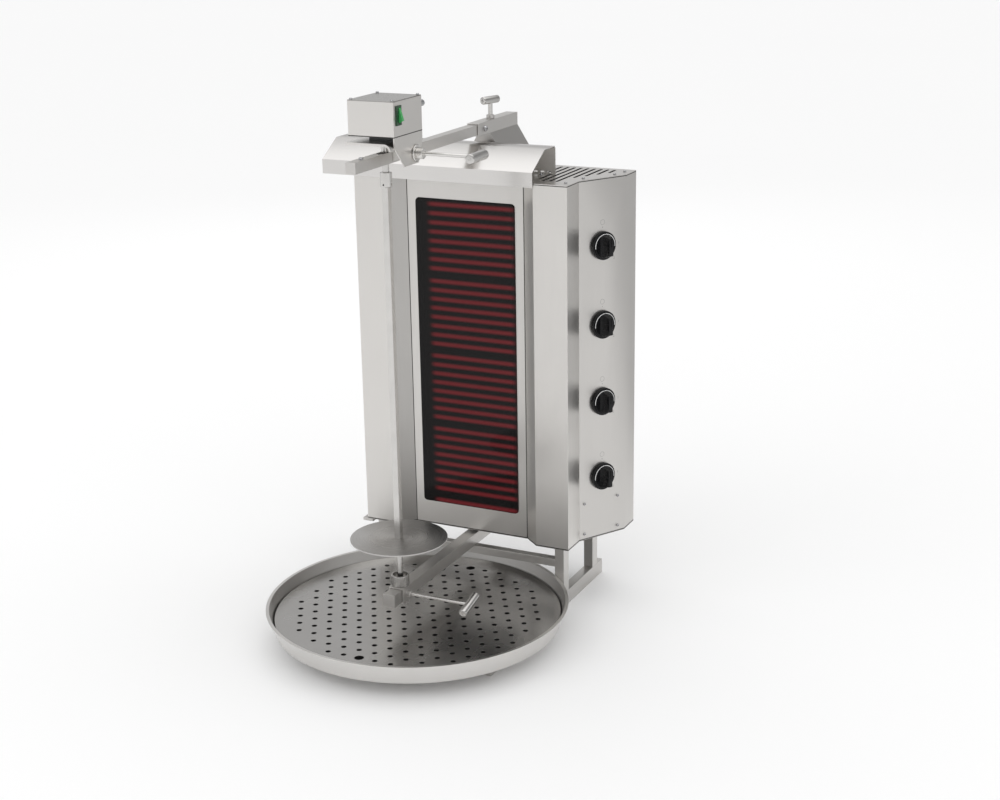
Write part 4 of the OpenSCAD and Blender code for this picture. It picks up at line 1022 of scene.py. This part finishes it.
def grip_on(node, axis, radius, half, angle):
    """Grip across the outer end of a clamp whose rod runs along an axis."""
    low, high = (Vector(corner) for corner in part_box(node))
    middle = (low + high) / 2
    middle[axis] = high[axis] - BAR_R
    lean = math.radians(angle)
    across = Vector((0, math.cos(lean), math.sin(lean)))
    if axis == 2:
        across = Vector((math.sin(lean), math.cos(lean), 0))
    piece = cylinder(radius, -half, half, 48)
    bevel(piece, GRIP_ROUND, 5, EDGE_ANGLE)
    turned_to = across.to_track_quat("Z", "Y").to_matrix().to_4x4()
    settle(piece, Matrix.Translation(middle) @ turned_to)
    smooth(piece, EDGE_ANGLE)
    return dress(piece, node + "_grip", BODIES[node], SLOTS[node], grip_shaded)


grips = [grip_on(*row) for row in GRIPS]
print("grips:", [grip.name for grip in grips])

# %% [markdown]
# ### Hole of the locking pin
# The sleeve that couples the spit has a small cross hole in its front. It could be cut, but a
# disc painted dark, as the shade inside the hole, that stands a hair proud looks the same at
# this size and leaves the sleeve whole.

# %% Pin hole
PRINT_THICK = 0.08 * MM
PIN_HOLE_R = 1.7 * MM
PIN_HOLE_UP = 5 * MM
PIN_HOLE_DEEP = 1 * MM
sleeve_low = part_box("coupling_sleeve")[0]
pin_hole = cylinder(PIN_HOLE_R, -PIN_HOLE_DEEP, PRINT_THICK, 24, lean=QUARTER,
                    at=(0, sleeve_low[1], sleeve_low[2] + PIN_HOLE_UP))
dress(pin_hole, "pin_hole", BODIES["coupling_sleeve"], SLOTS["coupling_sleeve"], tray_shadow)
print("pin hole", 2 * PIN_HOLE_R / MM, "mm wide")

# %% [markdown]
# ### Glass, seal and heater
# The pane lies in a black seal, and the dishes, boards and ribbons of the heater stand
# behind it. Only the pane has a radius that can be seen. The rest gets the smallest one.

# %% Glass, seal and heater
PANE_EDGE = 0.8 * MM
SEAL_EDGE = 0.3 * MM
HIDDEN_EDGE = 0.2 * MM
HIDDEN_PARTS = (
    ("heater_dishes", dish_black),
    ("heater_boards", board_dark),
    ("heater_ribbons", ribbon_dark),
    ("regulators", plug_black),
    ("inlet_gland", plug_black),
)
soften("glass", glass_dark, PANE_EDGE, 3)
soften("gasket", seal_black, SEAL_EDGE)
for node, material in HIDDEN_PARTS:
    soften(node, material, HIDDEN_EDGE)
print("behind the glass:", [row[0] for row in HIDDEN_PARTS])

# %% [markdown]
# ### The knobs
# A knob has a wide skirt, a round body with a dished front, and a grip bar across it. A spun
# outline would give the round part in one step. Here a cylinder is inset and raised as by
# hand, because the flat front stays one face that is easy to choose and to inset again.

# %% Round of a knob
KNOBS = 4
SKIRT_R = 28 * MM
SKIRT_TALL = 6 * MM
BODY_R = 24 * MM
BODY_TALL = 2.5 * MM
RIM_WIDE = 1.6 * MM
DISH_SLOPE = 1.0 * MM
DISH_DEEP = 0.8 * MM
SIDES = 96


def facing_up(face):
    """True for a face that looks along +Z."""
    return face.normal.z > 0.99


def knob_round():
    """Skirt and body of a knob: a cylinder whose front is inset, raised and dished."""
    piece = cylinder(SKIRT_R, 0, SKIRT_TALL, SIDES)
    edit(piece, facing_up)
    bpy.ops.mesh.inset(thickness=SKIRT_R - BODY_R)
    bpy.ops.mesh.extrude_region_move(TRANSFORM_OT_translate={"value": (0, 0, BODY_TALL)})
    bpy.ops.mesh.inset(thickness=RIM_WIDE, depth=0)
    bpy.ops.mesh.inset(thickness=DISH_SLOPE, depth=-DISH_DEEP)
    return done()


print("knob", 2 * SKIRT_R / MM, "mm over its skirt")

# %% [markdown]
# ### The grip bar
# The bar is what two large hollows leave of a cone. Cutting them with two big cylinders gives
# the long, even curves that fingers expect, which a box with rounded edges would lack. A small
# groove towards the top is the pointer.

# %% Grip of a knob
GRIP_TALL = 19.5 * MM
BAR_TALL = GRIP_TALL + BODY_TALL
FOOT_SHARE = 0.97
TOP_SHARE = 0.72
HOLLOW_R = 26 * MM
HOLLOW_HALF = 60 * MM
HOLLOW_OUT = 30.6 * MM
HOLLOW_UP = 19.0 * MM
GROOVE_HALF = 0.9 * MM
GROOVE_DEEP = 0.8 * MM
OVERRUN = 2 * MM


def knob_grip():
    """Grip bar: a cone with a hollow on each side and a pointer groove."""
    bar = cylinder(FOOT_SHARE * BODY_R, 0, BAR_TALL, SIDES, top=TOP_SHARE * BODY_R)
    for side in (-1, 1):
        cut(bar, cylinder(HOLLOW_R, -HOLLOW_HALF, HOLLOW_HALF, SIDES, lean=QUARTER,
                          at=(side * HOLLOW_OUT, 0, HOLLOW_UP)))
    groove = box((-GROOVE_HALF, 0, BAR_TALL - GROOVE_DEEP),
                 (GROOVE_HALF, BODY_R, BAR_TALL + OVERRUN))
    return cut(bar, groove)


print("grip bar", BAR_TALL / MM, "mm tall")

# %% [markdown]
# ### The pale line, a painted highlight
# The upper half of the rim of each knob catches a thin highlight, painted here as a pale line. A
# ring is added round the rim and its lower half cut away.

# %% Pale line of a knob, a painted highlight
ARC_IN = 0.5 * MM
ARC_R = 0.65 * MM
ARC_SUNK = 0.1 * MM
ARC_BELOW = 3 * MM


def knob_arc():
    """Painted highlight: a pale line over the upper half of the front rim of a knob."""
    bpy.ops.object.select_all(action="DESELECT")
    bpy.ops.mesh.primitive_torus_add(major_radius=BODY_R - ARC_IN, minor_radius=ARC_R,
                                     major_segments=SIDES, minor_segments=8,
                                     location=(0, 0, SKIRT_TALL + BODY_TALL - ARC_SUNK))
    bpy.ops.object.transform_apply(location=True, rotation=False, scale=False)
    arc = keep_part(bpy.context.object, -ARC_BELOW, BODY_R, axis=1)
    smooth(arc, 35)
    return arc


print("pale line", 2 * ARC_R / MM, "mm thick")

# %% Place of a knob
def on_panel(joint):
    """Matrix of a knob: its foot on the panel, +Z outward, +Y up."""
    row = next(row for row in frame["record"]["behaviour"]["joints"] if row["name"] == joint)
    outward = Vector(row["axis"]).normalized()
    up = Vector((0, 0, 1))
    across = up.cross(outward).normalized()
    turned_to = Matrix((across, up, outward)).transposed().to_4x4()
    return Matrix.Translation(Vector(row["pos_m"])) @ turned_to


print("first knob at", tuple(on_panel("knob_1_turn").translation))

# %% Four knobs
PANEL_GAP = 0.3 * MM
SPINDLE_R = 3 * MM
SPINDLE_DEEP = 3 * SKIRT_TALL
SPINDLE_IN = 1 * MM
KNOB_EDGE = 0.7 * MM
KNOB_ANGLE = 38

for count in range(1, KNOBS + 1):
    name = "knob_%d" % count
    place = on_panel(name + "_turn") @ Matrix.Translation((0, 0, PANEL_GAP))
    grip = settle(knob_grip(), Matrix.Translation((0, 0, SKIRT_TALL)))
    spindle = cylinder(SPINDLE_R, -SPINDLE_DEEP, SPINDLE_IN, 32)
    knob = join([knob_round(), grip, spindle])
    bevel(knob, KNOB_EDGE, 3, KNOB_ANGLE)
    smooth(knob, KNOB_ANGLE)
    settle(knob, place)
    dress(knob, name + "_dressed", name, "knob_plastic", knob_black, name)
    arc = settle(knob_arc(), place)
    dress(arc, name + "_arc", name, "knob_plastic", arc_highlight)
print("knobs:", KNOBS)

# %% Screws
SCREW_EDGE = 0.08 * MM
for node in ("body_screws", "lid_screws"):
    soften(node, screw_steel, SCREW_EDGE, 1)
print("screws done")

# %% [markdown]
# ### Marks round the knobs
# Each knob points to a small ring with a dot below it, which stands for off. Two numbers stand
# further round. They are thin prints that lie on the panel, made as real shapes, so that they
# stay sharp at any distance.

# %% Marks
RING_UP = 46 * MM
RING_R = 5 * MM
RING_THIN = 0.35 * MM
RING_FLAT_SHARE = 0.2
DOT_UP = 36 * MM
DOT_R = 1.1 * MM
DIGIT_AT = 40 * MM
DIGIT_TALL = 7 * MM
STEP = math.radians(45)
NUMBERS = (1, 2)


def digit(text, turn):
    """A number at an angle clockwise from the top."""
    bpy.ops.object.select_all(action="DESELECT")
    bpy.ops.object.text_add()
    letters = bpy.context.object
    letters.data.body = text
    letters.data.size = DIGIT_TALL
    letters.data.extrude = PRINT_THICK / 2
    letters.data.align_x = "CENTER"
    letters.data.align_y = "CENTER"
    bpy.ops.object.convert(target="MESH")
    at = (DIGIT_AT * math.sin(turn), DIGIT_AT * math.cos(turn), PRINT_THICK / 2)
    return settle(bpy.context.object, Matrix.Translation(at))


def off_ring():
    """Flattened ring above a knob."""
    bpy.ops.object.select_all(action="DESELECT")
    bpy.ops.mesh.primitive_torus_add(major_radius=RING_R, minor_radius=RING_THIN,
                                     major_segments=48, minor_segments=6)
    flattened = Matrix.Scale(RING_FLAT_SHARE, 4, (0, 0, 1))
    return settle(bpy.context.object, Matrix.Translation((0, RING_UP, 0)) @ flattened)


for count in range(1, KNOBS + 1):
    ring = off_ring()
    dot = cylinder(DOT_R, 0, PRINT_THICK, 24, at=(0, DOT_UP, 0))
    digits = [digit(str(number), (number + 1) * STEP) for number in NUMBERS]
    marks = settle(join([ring, dot, *digits]), on_panel("knob_%d_turn" % count))
    dress(marks, "knob_%d_marks" % count, "base", "black_plastic", mark_grey)
print("marks: off,", NUMBERS)

# %% [markdown]
# ## The floor
# A wide pale plane fills the whole view, so that no horizon shows, and carries the soft
# shadow of the grill. The steel mirrors the floor behind the grill too, and in the picture it is
# darker there than a white floor would make it. So mirror rays alone find a floor that dims
# about a metre behind the spit, as a room does away from its lamps.

# %% Floor
FLOOR_WIDE = 80
FLOOR_DROP = 0.2 * MM
FLOOR_CLOUD = (0.4, 0.4, 0.4)
FLOOR_LOW = (0.953, 0.953, 0.953)
FLOOR_HIGH = (0.957, 0.957, 0.957)
FLOOR_ROUGH = 0.9
FLOOR_SHINE = 0.1
DIM_FROM = 0.9
DIM_TO = 1.6
DIM_LEVEL = 0.60


def pale_floor():
    """Pale paint that mirror rays find dimmer behind the grill."""
    made, tree, shader = new_material("floor_paint")
    pale = tint(tree, noise(tree, FLOOR_CLOUD, 2), FLOOR_LOW, FLOOR_HIGH)
    place = tree.nodes.new("ShaderNodeTexCoord")
    split = tree.nodes.new("ShaderNodeSeparateXYZ")
    tree.links.new(place.outputs["Object"], split.inputs["Vector"])
    dimmed = tree.nodes.new("ShaderNodeMapRange")
    dimmed.inputs["From Min"].default_value = DIM_FROM
    dimmed.inputs["From Max"].default_value = DIM_TO
    dimmed.inputs["To Min"].default_value = 1.0
    dimmed.inputs["To Max"].default_value = DIM_LEVEL
    tree.links.new(split.outputs["Y"], dimmed.inputs["Value"])
    ray = tree.nodes.new("ShaderNodeLightPath")
    by_ray = tree.nodes.new("ShaderNodeMix")
    by_ray.data_type = "RGBA"
    by_ray.blend_type = "MULTIPLY"
    tree.links.new(ray.outputs["Is Glossy Ray"], by_ray.inputs[0])
    tree.links.new(pale, by_ray.inputs[6])
    tree.links.new(dimmed.outputs["Result"], by_ray.inputs[7])
    tree.links.new(by_ray.outputs[2], shader.inputs["Base Color"])
    shader.inputs["Roughness"].default_value = FLOOR_ROUGH
    shader.inputs["Specular IOR Level"].default_value = FLOOR_SHINE
    return made


bpy.ops.object.select_all(action="DESELECT")
bpy.ops.mesh.primitive_plane_add(size=FLOOR_WIDE, location=(0, 0, -FLOOR_DROP))
floor = bpy.context.object
floor.name = "floor"
floor.data.materials.append(pale_floor())
print("floor", FLOOR_WIDE, "m wide")
